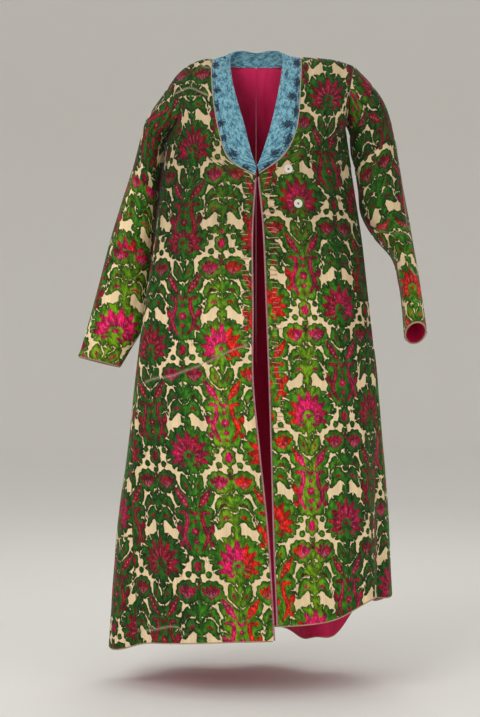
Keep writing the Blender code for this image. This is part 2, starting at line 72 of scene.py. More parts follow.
Level = namedtuple("Level", "edgeX edgeY edgeZ sideX sideY sideZ round fall")
frontForm = {
    -1: [
        Level(-88, 2, 0, -179, 8, -58, 0.0, 2.6),
        Level(-88, -50, -60, -168, -27, -74, 0.35, 2.0),
        Level(-77, -88, -142, -151, -50, -99, 0.6, 1.6),
        Level(-55, -107, -210, -158, -38, -127, 0.8, 1.4),
        Level(-4, -113, -243, -176, 2, -141, 1.0, 1.4),
        Level(-11, -118, -355, -202, 2, -350, 1.0, 1.4),
        Level(-10, -122, -500, -225, 2, -500, 1.0, 1.4),
        Level(-10, -132, -640, -241, 2, -640, 1.0, 1.4),
        Level(3, -146, -780, -256, 2, -790, 1.0, 1.4),
        Level(19, -168, -940, -274, 2, -936, 1.0, 1.4),
        Level(30, -190, -1128, -288, 2, -1162, 1.0, 1.4),
    ],
    1: [
        Level(88, 2, 3, 195, 8, -12, 0.0, 3.4),
        Level(86, -50, -60, 190, -27, -38, 0.35, 2.0),
        Level(78, -88, -145, 184, -48, -72, 0.6, 1.6),
        Level(52, -107, -203, 182, -38, -105, 0.8, 1.4),
        Level(4, -113, -240, 177, 2, -130, 1.0, 1.4),
        Level(14, -118, -350, 206, 2, -340, 1.0, 1.4),
        Level(20, -122, -500, 223, 2, -490, 1.0, 1.4),
        Level(25, -132, -640, 238, 2, -620, 1.0, 1.4),
        Level(29, -146, -780, 248, 2, -750, 1.0, 1.4),
        Level(33, -168, -935, 257, 2, -890, 1.0, 1.4),
        Level(39, -190, -1100, 262, 2, -1066, 1.0, 1.4),
    ],
}
backForm = {
    -1: [
        Level(-88, 2, 0, -179, 8, -58, 0.0, 2.6),
        Level(-74, 36, -1, -172, 34, -75, 0.3, 1.8),
        Level(-40, 58, -3, -164, 50, -99, 0.5, 1.3),
        Level(0, 64, -4, -166, 38, -127, 0.7, 1.2),
        Level(0, 94, -150, -176, 2, -141, 1.0, 1.4),
        Level(0, 100, -340, -202, 2, -350, 1.0, 1.4),
        Level(0, 108, -495, -225, 2, -500, 1.0, 1.4),
        Level(0, 122, -640, -241, 2, -640, 1.0, 1.4),
        Level(0, 142, -790, -256, 2, -790, 1.0, 1.4),
        Level(0, 168, -960, -274, 2, -936, 1.0, 1.4),
        Level(0, 200, -1170, -288, 2, -1162, 1.0, 1.4),
    ],
    1: [
        Level(88, 2, 3, 195, 8, -12, 0.0, 3.4),
        Level(74, 36, 0, 192, 34, -38, 0.3, 2.0),
        Level(40, 58, -3, 188, 50, -72, 0.5, 1.4),
        Level(0, 64, -4, 184, 38, -105, 0.7, 1.2),
        Level(0, 94, -150, 177, 2, -130, 1.0, 1.4),
        Level(0, 100, -340, 206, 2, -340, 1.0, 1.4),
        Level(0, 108, -495, 223, 2, -490, 1.0, 1.4),
        Level(0, 122, -640, 238, 2, -620, 1.0, 1.4),
        Level(0, 142, -790, 248, 2, -750, 1.0, 1.4),
        Level(0, 168, -960, 257, 2, -890, 1.0, 1.4),
        Level(0, 200, -1170, 262, 2, -1066, 1.0, 1.4),
    ],
}

# around the ring: 0 left front edge, 1 left side, 2 centre back, 3 right side, 4 right front edge
Dip = namedtuple("Dip", "around width lower")
hemDips = [
    Dip(0.80, 0.16, 14),
    Dip(2.28, 0.09, 26),
    Dip(2.44, 0.09, 38),
    Dip(2.64, 0.13, -30),
    Dip(3.40, 0.20, -24),
]
Flute = namedtuple("Flute", "around width out fromZ")
flutes = [
    Flute(0.34, 0.15, 8, -620),
    Flute(0.62, 0.12, -9, -560),
    Flute(0.88, 0.12, 8, -480),
    Flute(1.18, 0.12, 18, -420),
    Flute(1.42, 0.12, -26, -380),
    Flute(1.66, 0.11, 20, -450),
    Flute(1.88, 0.09, -16, -420),
    Flute(2.08, 0.09, 18, -360),
    Flute(2.33, 0.13, -44, -480),
    Flute(2.58, 0.10, 22, -430),
    Flute(2.80, 0.09, -12, -520),
    Flute(3.04, 0.11, 8, -460),
    Flute(3.24, 0.08, -20, -640),
    Flute(3.42, 0.11, 9, -560),
    Flute(3.72, 0.14, 6, -620),
]

# rings of a sleeve, from the shoulder down
Ring = namedtuple("Ring", "outerX outerZ innerX innerZ middleY halfDepth")
sleeveForm = {
    -1: [
        Ring(-211, -108, -184, -166, 6, 49),
        Ring(-229, -155, -189, -212, 13, 55),
        Ring(-248, -215, -194, -262, 22, 54),
        Ring(-270, -281, -201, -314, 30, 50),
        Ring(-294, -358, -208, -380, 40, 43),
        Ring(-315, -440, -217, -458, 46, 36),
        Ring(-334, -510, -228, -527, 48, 28),
        Ring(-350, -568, -258, -584, 42, 19),
        Ring(-359, -592, -275, -613, 38, 12),
    ],
    1: [
        Ring(228, -48, 188, -150, 5, 48),
        Ring(258, -92, 190, -186, 8, 55),
        Ring(276, -156, 197, -214, 10, 56),
        Ring(288, -225, 204, -258, 8, 54),
        Ring(299, -290, 209, -306, 2, 50),
        Ring(306, -341, 231, -347, -12, 47),
        Ring(311, -388, 267, -390, -34, 45),
        Ring(317, -448, 280, -449, -66, 43),
        Ring(322, -504, 283, -505, -98, 42),
        Ring(325, -546, 284, -547, -122, 41),
    ],
}
sleevePieces = {
    "head": {-1: (0, 1.1), 1: (0, 1.1)},
    "upper": {-1: (1.1, 3), 1: (1.1, 3)},
    "elbow": {-1: (3, 5.1), 1: (3, 6)},
    "forearm": {-1: (5.1, 9), 1: (6, 10)},
}

collarNeck = {
    -1: [(-53, 18, -4), (-45, -42, -62), (-26, -80, -135), (-11.5, -103, -196), (-0.7, -112, -229)],
    1: [(53, 18, -2), (44, -42, -62), (28, -80, -138), (10.6, -103, -197), (0.7, -112, -224)],
}
bandTop = [
    (-53, 18, -4), (-50, 37, 21), (-28, 50, 28), (0, 54, 24), (28, 50, 28), (50, 37, 22), (53, 18, -2),
]


def spline(before, start, end, after, along):
    cubic = 3 * (start - end) + after - before
    square = 2 * before - 5 * start + 4 * end - after
    return start + 0.5 * along * ((end - before) + along * (square + along * cubic))


def smooth(value):
    held = np.clip(value, 0, 1)
    return held * held * (3 - 2 * held)


def unit(vectors):
    return vectors / np.maximum(np.linalg.norm(vectors, axis=-1, keepdims=True), 1e-12)


# lengths along a line of points, from 0 at its start
def runLengths(points):
    return np.concatenate([[0], np.cumsum(np.linalg.norm(np.diff(points, axis=0), axis=-1))])


def readAlong(places, knots, points):
    return np.stack([np.interp(places, knots, points[:, n]) for n in range(3)], axis=-1)


def paddedRows(levels, beyond):
    rows = np.array(levels, float)
    return np.vstack([beyond, rows, 2 * rows[-1] - rows[-2]])


formRows = {}
for side in (-1, 1):
    formRows[side, True] = paddedRows(frontForm[side], backForm[side][1])
    formRows[side, False] = paddedRows(backForm[side], frontForm[side][1])


def levelPoints(rows, across):
    edge, side = rows[..., 0:3], rows[..., 3:6]
    bow, fall = rows[..., 6], rows[..., 7]
    angle = across * math.pi / 2
    share = np.stack(
        [
            across + bow * (np.sin(angle) - across),
            across + bow * (1 - np.cos(angle) - across),
            across**fall,
        ],
        axis=-1,
    )
    return (edge + (side - edge) * share) * mm


def ringPlace(side, around):
    return around if side < 0 else 4 - around


def hemLower(place):
    total = np.zeros_like(place)
    for row in hemDips:
        total += row.lower * mm * np.exp(-(((place - row.around) / row.width) ** 2))
    return total


def fluting(place, height):
    total = np.zeros_like(place)
    for row in flutes:
        start = row.fromZ * mm
        opened = smooth((start - height) / (start - backForm[-1][-1].edgeZ * mm)) ** 1.2
        total += row.out * mm * opened * np.exp(-(((place - row.around) / row.width) ** 2))
    return total


def sharpness(across, row, corner):
    inner = (1 - smooth(2 * across)) * (row == corner)
    outer = (1 - smooth(2 - 2 * across)) * (row == robe["underarm"])
    return (inner + outer)[..., None]


# outer face of the robe: around is 0 at a front edge, 1 at the side, 2 at the centre back
def body(side, around, level):
    around, level = np.broadcast_arrays(np.asarray(around, float), np.asarray(level, float))
    inFront = (around <= 1) ^ (level < 0)
    level = np.abs(level)
    across = np.clip(np.where(around <= 1, around, 2 - around), 0, 1)
    row = np.clip(np.floor(level), 0, robe["hem"] - 1).astype(int)
    along = (level - row)[..., None]
    points = []
    for front, corner in ((True, robe["underarm"]), (False, robe["backNeck"])):
        rows = formRows[side, front]
        before, start, end, after = [levelPoints(rows[row + n], across) for n in range(4)]
        before = before + sharpness(across, row, corner) * (2 * start - end - before)
        after = after + sharpness(across, row + 1, corner) * (2 * end - start - after)
        points.append(spline(before, start, end, after, along))
    point = np.where(inFront[..., None], points[0], points[1])
    place = ringPlace(side, around)
    point[..., 2] -= smooth((level - 7) / 3) * hemLower(place)
    width = np.abs(formRows[side, True][row + 1, 3]) * mm
    depth = 0.6 * width
    outward = np.stack([point[..., 0] / width**2, point[..., 1] / depth**2, 0 * width], axis=-1)
    return point + unit(outward) * fluting(place, point[..., 2])[..., None]


step = 1e-3


def bodyNormal(side, around, level):
    around, level = np.broadcast_arrays(np.asarray(around, float), np.asarray(level, float))
    apart = level < robe["underarm"]
    low = np.where(apart & (around > 1), 1 + step, 0)
    high = np.where(apart & (around <= 1), 1, 2)
    after, before = np.clip(around + step, low, high), np.clip(around - step, low, high)
    across = body(side, after, level) - body(side, before, level)
    down = body(side, around, level + step) - body(side, around, level - step)
    return unit(np.cross(across, down)) * -side


def goreShare(level):
    top = robe["goreTop"]
    opened = np.clip((np.asarray(level, float) - top) / (robe["hem"] - top), 0, 1)
    return np.where(np.asarray(level, float) >= top, robe["gorePoint"] + robe["goreSpread"] * opened, 0)


spans = {
    "front": lambda level: (0 * level, 1 - goreShare(level)),
    "back": lambda level: (1 + np.maximum(goreShare(level), step / 2), 2 + 0 * level),
    "gore": lambda level: (1 - goreShare(level), 1 + goreShare(level)),
}


def armhole(side, turn):
    level = robe["underarm"] * (1 - np.abs(1 - 2 * turn))
    around = np.where(turn <= 0.5, 1.0, 1 + step)
    edge = body(side, around, level)
    beside = body(side, np.where(turn <= 0.5, 1 - 0.02, 1 + 0.02), level)
    away = unit(edge - beside) * (1 - smooth(level - robe["underarm"] + 1))[:, None]
    return edge + unit(away + bodyNormal(side, around, level)) * robe["seamGap"]


def sleeveRings(side, turn):
    table = sleeveForm[side]
    middles = [np.array([(r.outerX + r.innerX) / 2, r.middleY, (r.outerZ + r.innerZ) / 2]) for r in table]
    rings = [armhole(side, turn)]
    angle = 2 * math.pi * turn[:, None]
    for number, row in enumerate(table):
        axis = unit(middles[min(number + 1, len(table) - 1)] - middles[max(number - 1, 0)])
        wide = np.array([row.outerX - row.innerX, 0, row.outerZ - row.innerZ]) / 2
        deep = unit(np.cross(wide, axis)) * row.halfDepth
        if deep[1] > 0:
            deep = -deep
        rings.append((middles[number] + wide * np.cos(angle) + deep * np.sin(angle)) * mm)
    rings = np.array(rings)
    return np.concatenate([[2 * rings[0] - rings[1]], rings, [2 * rings[-1] - rings[-2]]])


def sleeveFace(side, turn, along):
    rings = sleeveRings(side, turn % 1)
    row = np.clip(np.floor(along), 0, len(rings) - 4).astype(int)
    share = (along - row)[:, None, None]
    return spline(rings[row], rings[row + 1], rings[row + 2], rings[row + 3], share)


def sleeveNormal(side, turn, along):
    last = len(sleeveForm[side])
    after, before = np.clip(along + step, 0, last), np.clip(along - step, 0, last)
    down = sleeveFace(side, turn, after) - sleeveFace(side, turn, before)
    across = sleeveFace(side, turn + step, along) - sleeveFace(side, turn - step, along)
    return unit(np.cross(across, down)) * side


# one repeat of the velvet's figure, in millimetres
repeat = {
    "across": 160.0, "down": 416.0, "cell": 0.8, "swell": 4.6,
    "scallop": 3.0, "lobe": 13.0, "outline": 1.0, "incision": 8.0,
}

Stroke = namedtuple("Stroke", "layer at points widths both dark", defaults=(False, 0.0))
blobFields = "layer at across down wide high turn lobes depth both dark"
Blob = namedtuple("Blob", blobFields, defaults=(0, 0, 0.0, False, 0.0))


def curveThrough(points, count=12):
    rows = np.array(points, float)
    rows = np.vstack([2 * rows[0] - rows[1], rows, 2 * rows[-1] - rows[-2]])
    place = np.linspace(0, len(points) - 1, count + 1)
    row = np.clip(place.astype(int), 0, len(points) - 2)
    return spline(rows[row], rows[row + 1], rows[row + 2], rows[row + 3], (place - row)[:, None])


def strokeGap(across, down, motif, mirror):
    points = curveThrough(motif.points)
    places = np.linspace(0, 1, len(points))
    widths = np.interp(places, np.linspace(0, 1, len(motif.widths)), motif.widths)
    points[:, 0] = motif.at + points[:, 0] * mirror
    best = np.full(across.shape, 1e3)
    passed = 0.0
    for a, b, wideA, wideB in zip(points[:-1], points[1:], widths[:-1], widths[1:]):
        along = b - a
        size = math.hypot(*along)
        t = ((across - a[0]) * along[0] + (down - a[1]) * along[1]) / max(along.dot(along), 1e-6)
        t = np.clip(t, 0, 1)
        far = np.hypot(across - a[0] - t * along[0], down - a[1] - t * along[1])
        wide = wideA + t * (wideB - wideA)
        if motif.layer == "leaf":
            # a broad leaf has a scalloped outline
            lobed = np.abs(np.sin(math.pi * (passed + t * size) / repeat["lobe"])) ** 0.7
            wide = wide + 2 * repeat["scallop"] * (lobed - 0.6) * np.clip((wide - 9) / 9, 0, 1)
        best = np.minimum(best, far - wide / 2)
        passed += size
    return best


def blobGap(across, down, motif, mirror):
    angle = math.radians(motif.turn) * mirror
    du = across - (motif.at + motif.across * mirror)
    dv = down - motif.down
    x = (du * math.cos(angle) + dv * math.sin(angle)) / motif.wide
    y = (-du * math.sin(angle) + dv * math.cos(angle)) / motif.high
    reach = np.hypot(x, y)
    lobes, depth = motif.lobes, motif.depth
    if motif.layer == "leaf" and not lobes and min(motif.wide, motif.high) > 7:
        lobes = 2 * round(math.pi * (motif.wide + motif.high) / repeat["lobe"] / 2)
        depth = repeat["scallop"] / min(motif.wide, motif.high)
    if lobes:
        reach = reach * (1 + depth) / (1 + depth * np.abs(np.sin(np.arctan2(y, x) * lobes / 2)) ** 0.7)
    return (reach - 1) * min(motif.wide, motif.high)


def motifGap(across, down, motif):
    gap = np.full(across.shape, 1e3)
    stroke = isinstance(motif, Stroke)
    for mirror in (1, -1) if motif.both else (1,):
        if stroke:
            us = motif.at + np.array(motif.points)[:, 0] * mirror
            vs = np.array(motif.points)[:, 1]
            margin = max(motif.widths) + 22
        else:
            us = np.array([motif.at + motif.across * mirror])
            vs = np.array([motif.down])
            margin = max(motif.wide, motif.high) * 1.2 + 22
        for du in (-repeat["across"], 0, repeat["across"]):
            for dv in (-repeat["down"], 0, repeat["down"]):
                u, v = across - du, down - dv
                near = (u > us.min() - margin) & (u < us.max() + margin)
                near &= (v > vs.min() - margin) & (v < vs.max() + margin)
                if near.any():
                    measure = strokeGap if stroke else blobGap
                    gap[near] = np.minimum(gap[near], measure(u[near], v[near], motif, mirror))
    return gap


# Each layer is a signed distance in millimetres, below 0 inside; later motifs lie over earlier ones.
def drawRepeat(motifs):
    u = (np.arange(int(repeat["across"] / repeat["cell"])) + 0.5) * repeat["cell"]
    v = (np.arange(int(repeat["down"] / repeat["cell"])) + 0.5) * repeat["cell"]
    u, v = np.meshgrid(u, v)
    leaf = np.full(u.shape, 20.0)
    bloom = np.full(u.shape, 20.0)
    vein = np.full(u.shape, 20.0)
    dark = np.zeros(u.shape)
    for motif in motifs:
        gap = motifGap(u, v, motif)
        if motif.layer == "leaf":
            # a pale line divides a new leaf from the rim of those under it
            gap = gap - repeat["swell"]
            rim = repeat["outline"] - np.abs(gap - repeat["outline"])
            line = np.where(leaf > -repeat["incision"], rim, -20)
            leaf = np.minimum(np.maximum(leaf, line), gap)
        elif motif.layer == "leafOver":
            leaf = np.minimum(leaf, gap)
            bloom = np.maximum(bloom, -gap)
        elif motif.layer == "bloom":
            bloom = np.minimum(bloom, gap)
            dark = np.where(gap < 2, motif.dark, dark)
        elif motif.layer == "vein":
            vein = np.minimum(vein, gap)
        elif motif.layer == "ground":
            leaf = np.maximum(leaf, -gap)
            bloom = np.maximum(bloom, -gap)
    return leaf, bloom, vein, dark


# Reads a repeat's grid at any places, given in millimetres of the design.
def readRepeat(grid, u, v):
    rows, columns = grid.shape
    x = u / repeat["cell"] - 0.5
    y = v / repeat["cell"] - 0.5
    x0, y0 = np.floor(x).astype(int), np.floor(y).astype(int)
    fx, fy = x - x0, y - y0
    total = 0
    for dx, wx in ((0, 1 - fx), (1, fx)):
        for dy, wy in ((0, 1 - fy), (1, fy)):
            total = total + grid[(y0 + dy) % rows, (x0 + dx) % columns] * wx * wy
    return total


mainAxis = 80.0
sideAxis = 0.0
halfDrop = 208.0
design = {
    "petals": 4, "petalTurn": 27, "petalReach": 47, "rimLobes": 13, "heartBelow": 12,
    "featherBelow": 86, "cartoucheBelow": 156, "budBelow": 222, "blossomsBelow": 276, "forkBelow": 334,
}


# Every motif is centred on its axis at the height `down`, in millimetres.
def palmette(at, down):
    heart = down + design["heartBelow"]
    rows = [Blob("leaf", at, 0, down, 53, 45, 0, design["rimLobes"], 0.13)]
    for n in range(design["rimLobes"]):
        angle = 2 * math.pi * (n + 0.5) / design["rimLobes"]
        rim = [(math.cos(angle) * 43 * k, down + math.sin(angle) * 37 * k) for k in (1, 1.32)]
        rows.append(Stroke("ground", at, rim, [0.3, 3.2]))
    for n in range(-design["petals"], design["petals"] + 1):
        angle = math.radians(design["petalTurn"] * n)
        reach = design["petalReach"] - 2.2 * abs(n)
        path = [(math.sin(angle) * r, heart - math.cos(angle) * r) for r in (9, 0.62 * reach, reach)]
        rows.append(Stroke("bloom", at, path, [6, 17, 7]))
        rows.append(Stroke("vein", at, path[:2], [0.6, 2.2]))
    rows.append(Blob("leafOver", at, 0, heart, 12, 10))
    rows.append(Blob("bloom", at, 0, heart, 6, 5))
    curl = [(5, heart + 13), (15, heart + 19), (24, heart + 16)]
    rows.append(Stroke("bloom", at, curl, [3, 7, 2], both=True))
    return rows


def featherLeaves(at, down):
    rows = [
        Stroke("leaf", at, [(0, down - 44), (0, down), (0, down + 40)], [10, 7, 12]),
        Stroke("leaf", at, [(5, down + 30), (22, down + 10), (42, down - 20)], [8, 27, 5], both=True),
        Stroke("leaf", at, [(4, down - 2), (14, down - 18), (18, down - 34)], [3, 12, 3], both=True),
        Stroke("bloom", at, [(10, down + 26), (23, down + 8), (37, down - 13)], [4, 17, 4], both=True),
        Stroke("bloom", at, [(8, down - 8), (13, down - 18), (16, down - 27)], [2, 5, 1], both=True),
    ]
    for n in range(4):
        rows.append(Blob("vein", at, 15 + 5 * n, down + 19 - 7 * n, 1.7, 2.6, 35, both=True))
    return rows


def cartouche(at, down):
    scroll = [(30, down - 36), (16, down - 34), (17, down - 12), (25, down + 10), (11, down + 36)]
    rows = [
        Blob("leaf", at, 0, down + 4, 36, 46, 0, 10, 0.2),
        Blob("leaf", at, 22, down - 34, 15, 12, both=True),
        Stroke("bloom", at, scroll, [7, 9, 10, 12, 5], both=True),
        Stroke("vein", at, scroll, [0.6, 1.4, 1.2, 1.4, 0.6], both=True),
        Blob("bloom", at, 33, down - 6, 6, 9, 12, both=True),
        Blob("bloom", at, 31, down + 24, 5, 7, 20, both=True),
        Stroke("bloom", at, [(-9, down - 39), (0, down - 33), (9, down - 39)], [4, 8, 4]),
    ]
    for below, size in ((-20, 5), (0, 9), (19, 6), (34, 4)):
        rows.append(Blob("bloom", at, 0, down + below, size, size, 0, 8, 0.25))
        rows.append(Blob("vein", at, 0, down + below, size / 4, size / 4))
    return rows


def bud(at, down):
    return [
        Stroke("ground", at, [(15, down - 20), (21, down), (15, down + 20)], [2, 6, 2], both=True),
        Blob("leaf", at, 0, down, 11, 14),
        Blob("bloom", at, 0, down, 8, 11),
        Blob("leaf", at, 21, down + 15, 2, 2, both=True),
        Blob("leaf", at, 23, down - 12, 1.5, 1.5, both=True),
    ]


def blossoms(at, down):
    rows = [
        Stroke("leaf", at, [(0, down + 42), (0, down), (0, down - 30)], [10, 8, 4]),
        Stroke("leaf", at, [(2, down + 34), (12, down + 20), (24, down + 6)], [4, 8, 5], both=True),
        Blob("leaf", at, 24, down - 6, 21, 19, -12, both=True),
    ]
    for n in range(-2, 3):
        path = [(24, down + 8), (24 + 5.5 * n, down - 6 + abs(n)), (24 + 8 * n, down - 19 + 3.5 * abs(n))]
        rows.append(Stroke("bloom", at, path, [3, 9, 6], both=True))
        rows.append(Stroke("vein", at, path[:2], [0.6, 2], both=True))
    rows.append(Blob("bloom", at, 0, down - 18, 4, 9, dark=1.0))
    return rows


def fork(at, down):
    rows = [
        Stroke("leaf", at, [(0, down + 46), (0, down - 26)], [13, 7]),
        Stroke("leaf", at, [(0, down - 16), (21, down - 24), (38, down - 2)], [5, 17, 3], both=True),
        Stroke("leaf", at, [(0, down + 12), (17, down - 2), (34, down + 20)], [5, 16, 3], both=True),
        Stroke("bloom", at, [(11, down - 21), (22, down - 21), (31, down - 11)], [2, 7, 1], True, 1.0),
        Stroke("bloom", at, [(9, down + 4), (18, down + 2), (27, down + 11)], [2, 7, 1], both=True),
    ]
    for n in range(3):
        rows.append(Blob("leaf", at, 40 + 3 * n, down + 6 + 9 * n, 1.5, 1.5, both=True))
    return rows


# The second axis carries the same motifs half a repeat lower.
motifs = []
for at, drop in ((mainAxis, 0), (sideAxis, halfDrop)):
    motifs += fork(at, drop + design["forkBelow"])
    motifs += featherLeaves(at, drop + design["featherBelow"])
for at, drop in ((mainAxis, 0), (sideAxis, halfDrop)):
    motifs += blossoms(at, drop + design["blossomsBelow"])
    motifs += cartouche(at, drop + design["cartoucheBelow"])
    motifs += bud(at, drop + design["budBelow"])
    motifs += palmette(at, drop)


leafLayer, bloomLayer, veinLayer, darkLayer = drawRepeat(motifs)
print("figure drawn")


# folds, creases and rumples are all pushed along the cloth's outward normal
Crease = namedtuple("Crease", "points width out worn", defaults=(0.0,))
Fold = namedtuple("Fold", "around width out top foot")

reliefs = {
    "folds": [
        Fold(0.10, 0.05, 1.6, -0.30, -1.20),
        Fold(0.21, 0.06, -1.8, -0.42, -1.20),
        Fold(0.45, 0.08, 2.2, -0.16, -0.70),
        Fold(0.58, 0.05, -2.0, -0.25, -1.00),
        Fold(0.78, 0.06, 2.4, -0.20, -1.10),
        Fold(1.10, 0.06, 2.0, -0.30, -1.00),
        Fold(1.30, 0.05, -2.4, -0.22, -0.90),
        Fold(1.48, 0.05, 2.2, -0.12, -0.80),
        Fold(1.74, 0.06, -2.6, -0.10, -0.72),
        Fold(1.93, 0.04, 1.8, -0.18, -1.00),
        Fold(2.10, 0.05, -2.2, -0.14, -0.86),
        Fold(2.27, 0.05, 2.6, -0.10, -0.80),
        Fold(2.47, 0.05, -2.4, -0.20, -0.76),
        Fold(2.66, 0.06, 2.0, -0.28, -1.10),
        Fold(2.92, 0.05, -2.2, -0.30, -1.00),
        Fold(3.12, 0.05, 2.4, -0.18, -0.90),
        Fold(3.34, 0.06, -2.0, -0.36, -1.10),
        Fold(3.52, 0.05, 2.0, -0.14, -0.64),
        Fold(3.70, 0.05, -1.6, -0.40, -1.10),
        Fold(3.86, 0.05, 1.4, -0.30, -1.05),
    ],
    "rumples": 26,
    "rumpleHeight": 0.00055,
    "pile": 0.0008,
    "seamDip": 0.0011,
    "seamReach": 0.0035,
}

# creases seen from the front, as x and z in metres
frontCreases = {
    "leftUpper": [
        Crease([(-0.166, -0.076), (-0.135, -0.062), (-0.111, -0.072), (-0.090, -0.084)], 0.0030, -2.6, 0.9),
        Crease([(-0.170, -0.068), (-0.140, -0.050), (-0.112, -0.056)], 0.010, 2.4),
        Crease([(-0.113, -0.012), (-0.090, -0.020)], 0.0026, -1.8, 0.6),
        Crease([(-0.150, -0.150), (-0.122, -0.185), (-0.098, -0.240)], 0.012, -2.4),
        Crease([(-0.136, -0.120), (-0.104, -0.160), (-0.085, -0.215)], 0.012, 2.2),
        Crease([(-0.172, -0.190), (-0.140, -0.235), (-0.120, -0.300)], 0.011, 2.4),
        Crease([(-0.180, -0.300), (-0.140, -0.318), (-0.090, -0.330)], 0.008, -1.3),
        Crease([(-0.060, -0.250), (-0.052, -0.300), (-0.056, -0.345)], 0.008, 1.6),
    ],
    "leftLower": [
        Crease(
            [(-0.231, -0.651), (-0.2015, -0.6365), (-0.1665, -0.631), (-0.1426, -0.622), (-0.113, -0.611),
             (-0.084, -0.598), (-0.054, -0.583), (-0.025, -0.573), (-0.013, -0.569)],
            0.0026, -2.8, 1.0,
        ),
        Crease([(-0.225, -0.640), (-0.165, -0.620), (-0.110, -0.600), (-0.050, -0.572)], 0.009, 2.2),
        Crease([(-0.222, -0.664), (-0.150, -0.640), (-0.080, -0.612)], 0.010, 1.4),
        Crease(
            [(-0.264, -1.1216), (-0.245, -1.1264), (-0.215, -1.1226), (-0.166, -1.1074), (-0.141, -1.110)],
            0.0026, -1.8, 0.9,
        ),
        Crease([(-0.150, -1.118), (-0.100, -1.122), (-0.040, -1.124)], 0.0040, -1.0, 0.25),
        Crease([(-0.200, -0.760), (-0.150, -0.800), (-0.120, -0.880)], 0.014, -1.8),
        Crease([(-0.090, -0.700), (-0.080, -0.780), (-0.094, -0.860)], 0.013, 1.8),
        Crease([(-0.060, -0.930), (-0.052, -1.000), (-0.060, -1.080)], 0.013, -1.8),
        Crease([(-0.190, -0.930), (-0.180, -1.010), (-0.196, -1.100)], 0.015, 2.2),
        Crease([(-0.180, -0.420), (-0.150, -0.470), (-0.142, -0.540)], 0.012, 1.8),
    ],
    "right": [
        Crease([(0.190, -0.030), (0.176, -0.080), (0.170, -0.140)], 0.008, -2.0),
        Crease([(0.098, -0.060), (0.094, -0.120), (0.080, -0.185)], 0.009, 1.6),
        Crease([(0.150, -0.150), (0.122, -0.190), (0.106, -0.260)], 0.012, -2.2),
        Crease([(0.168, -0.180), (0.142, -0.240), (0.134, -0.320)], 0.012, 2.4),
        Crease([(0.060, -0.215), (0.080, -0.290), (0.076, -0.380)], 0.011, 1.4),
        Crease([(0.190, -0.330), (0.170, -0.400), (0.172, -0.480)], 0.011, -1.8),
        Crease([(0.110, -0.470), (0.100, -0.560), (0.108, -0.660)], 0.013, 1.8),
        Crease([(0.060, -0.640), (0.066, -0.740), (0.060, -0.850)], 0.014, -1.8),
        Crease([(0.160, -0.660), (0.166, -0.760), (0.158, -0.900)], 0.012, 2.0),
        Crease([(0.110, -0.880), (0.116, -0.960), (0.110, -1.060)], 0.013, -2.0),
        Crease([(0.030, -0.980), (0.060, -1.010), (0.110, -1.020)], 0.012, 1.4),
    ],
    "leftSleeve": [
        Crease([(-0.206, -0.130), (-0.215, -0.160), (-0.205, -0.190)], 0.008, -1.6),
        Crease([(-0.246, -0.210), (-0.230, -0.250), (-0.222, -0.300)], 0.009, 1.8),
        Crease([(-0.205, -0.290), (-0.235, -0.315), (-0.262, -0.320)], 0.008, -2.0),
        Crease([(-0.210, -0.330), (-0.240, -0.345), (-0.272, -0.345)], 0.009, 1.6),
        Crease([(-0.285, -0.400), (-0.265, -0.460), (-0.268, -0.520)], 0.010, 1.8),
        Crease([(-0.220, -0.440), (-0.246, -0.500), (-0.262, -0.560)], 0.009, -1.8),
        Crease([(-0.340, -0.560), (-0.312, -0.575), (-0.282, -0.588)], 0.006, -1.0),
    ],
    "rightSleeve": [
        Crease([(0.273, -0.150), (0.286, -0.230), (0.297, -0.344)], 0.0030, 2.0, 0.7),
        Crease([(0.282, -0.160), (0.295, -0.235), (0.304, -0.330)], 0.008, -2.2),
        Crease([(0.212, -0.150), (0.235, -0.180), (0.262, -0.190)], 0.009, 1.8),
        Crease([(0.214, -0.230), (0.238, -0.250), (0.270, -0.252)], 0.009, -1.8),
        Crease([(0.222, -0.318), (0.250, -0.330), (0.292, -0.318)], 0.008, 2.4),
        Crease([(0.228, -0.342), (0.262, -0.350), (0.304, -0.352)], 0.006, -2.4, 0.3),
        Crease([(0.256, -0.376), (0.280, -0.372), (0.310, -0.384)], 0.007, 2.2),
        Crease([(0.270, -0.400), (0.292, -0.412), (0.314, -0.408)], 0.006, -1.8, 0.3),
        Crease([(0.296, -0.420), (0.306, -0.434), (0.318, -0.430)], 0.0030, -1.6, 0.9),
        Crease([(0.292, -0.440), (0.300, -0.480), (0.300, -0.530)], 0.008, 1.8),
    ],
}
backCreases = {
    "left": [
        Crease([(-0.150, -0.060), (-0.120, -0.100), (-0.100, -0.170)], 0.014, -2.2),
        Crease([(-0.060, -0.040), (-0.090, -0.090), (-0.140, -0.130)], 0.013, 2.0),
        Crease([(-0.170, -0.200), (-0.130, -0.250), (-0.110, -0.340)], 0.014, 2.4),
        Crease([(-0.040, -0.200), (-0.050, -0.320), (-0.044, -0.420)], 0.014, -1.8),
        Crease([(-0.190, -0.420), (-0.130, -0.450), (-0.060, -0.446)], 0.009, 1.2),
        Crease([(-0.120, -0.560), (-0.130, -0.680), (-0.122, -0.800)], 0.016, -2.2),
        Crease([(-0.200, -0.800), (-0.150, -0.815), (-0.070, -0.802)], 0.008, -1.0),
    ],
    "right": [
        Crease([(0.150, -0.050), (0.118, -0.100), (0.104, -0.180)], 0.014, 2.2),
        Crease([(0.050, -0.050), (0.090, -0.086), (0.140, -0.118)], 0.013, -1.8),
        Crease([(0.165, -0.220), (0.124, -0.270), (0.112, -0.360)], 0.014, -2.2),
        Crease([(0.030, -0.240), (0.046, -0.340), (0.040, -0.460)], 0.014, 2.0),
        Crease([(0.180, -0.500), (0.120, -0.520), (0.050, -0.508)], 0.009, -1.2),
        Crease([(0.100, -0.620), (0.112, -0.740), (0.104, -0.860)], 0.016, 2.0),
    ],
}


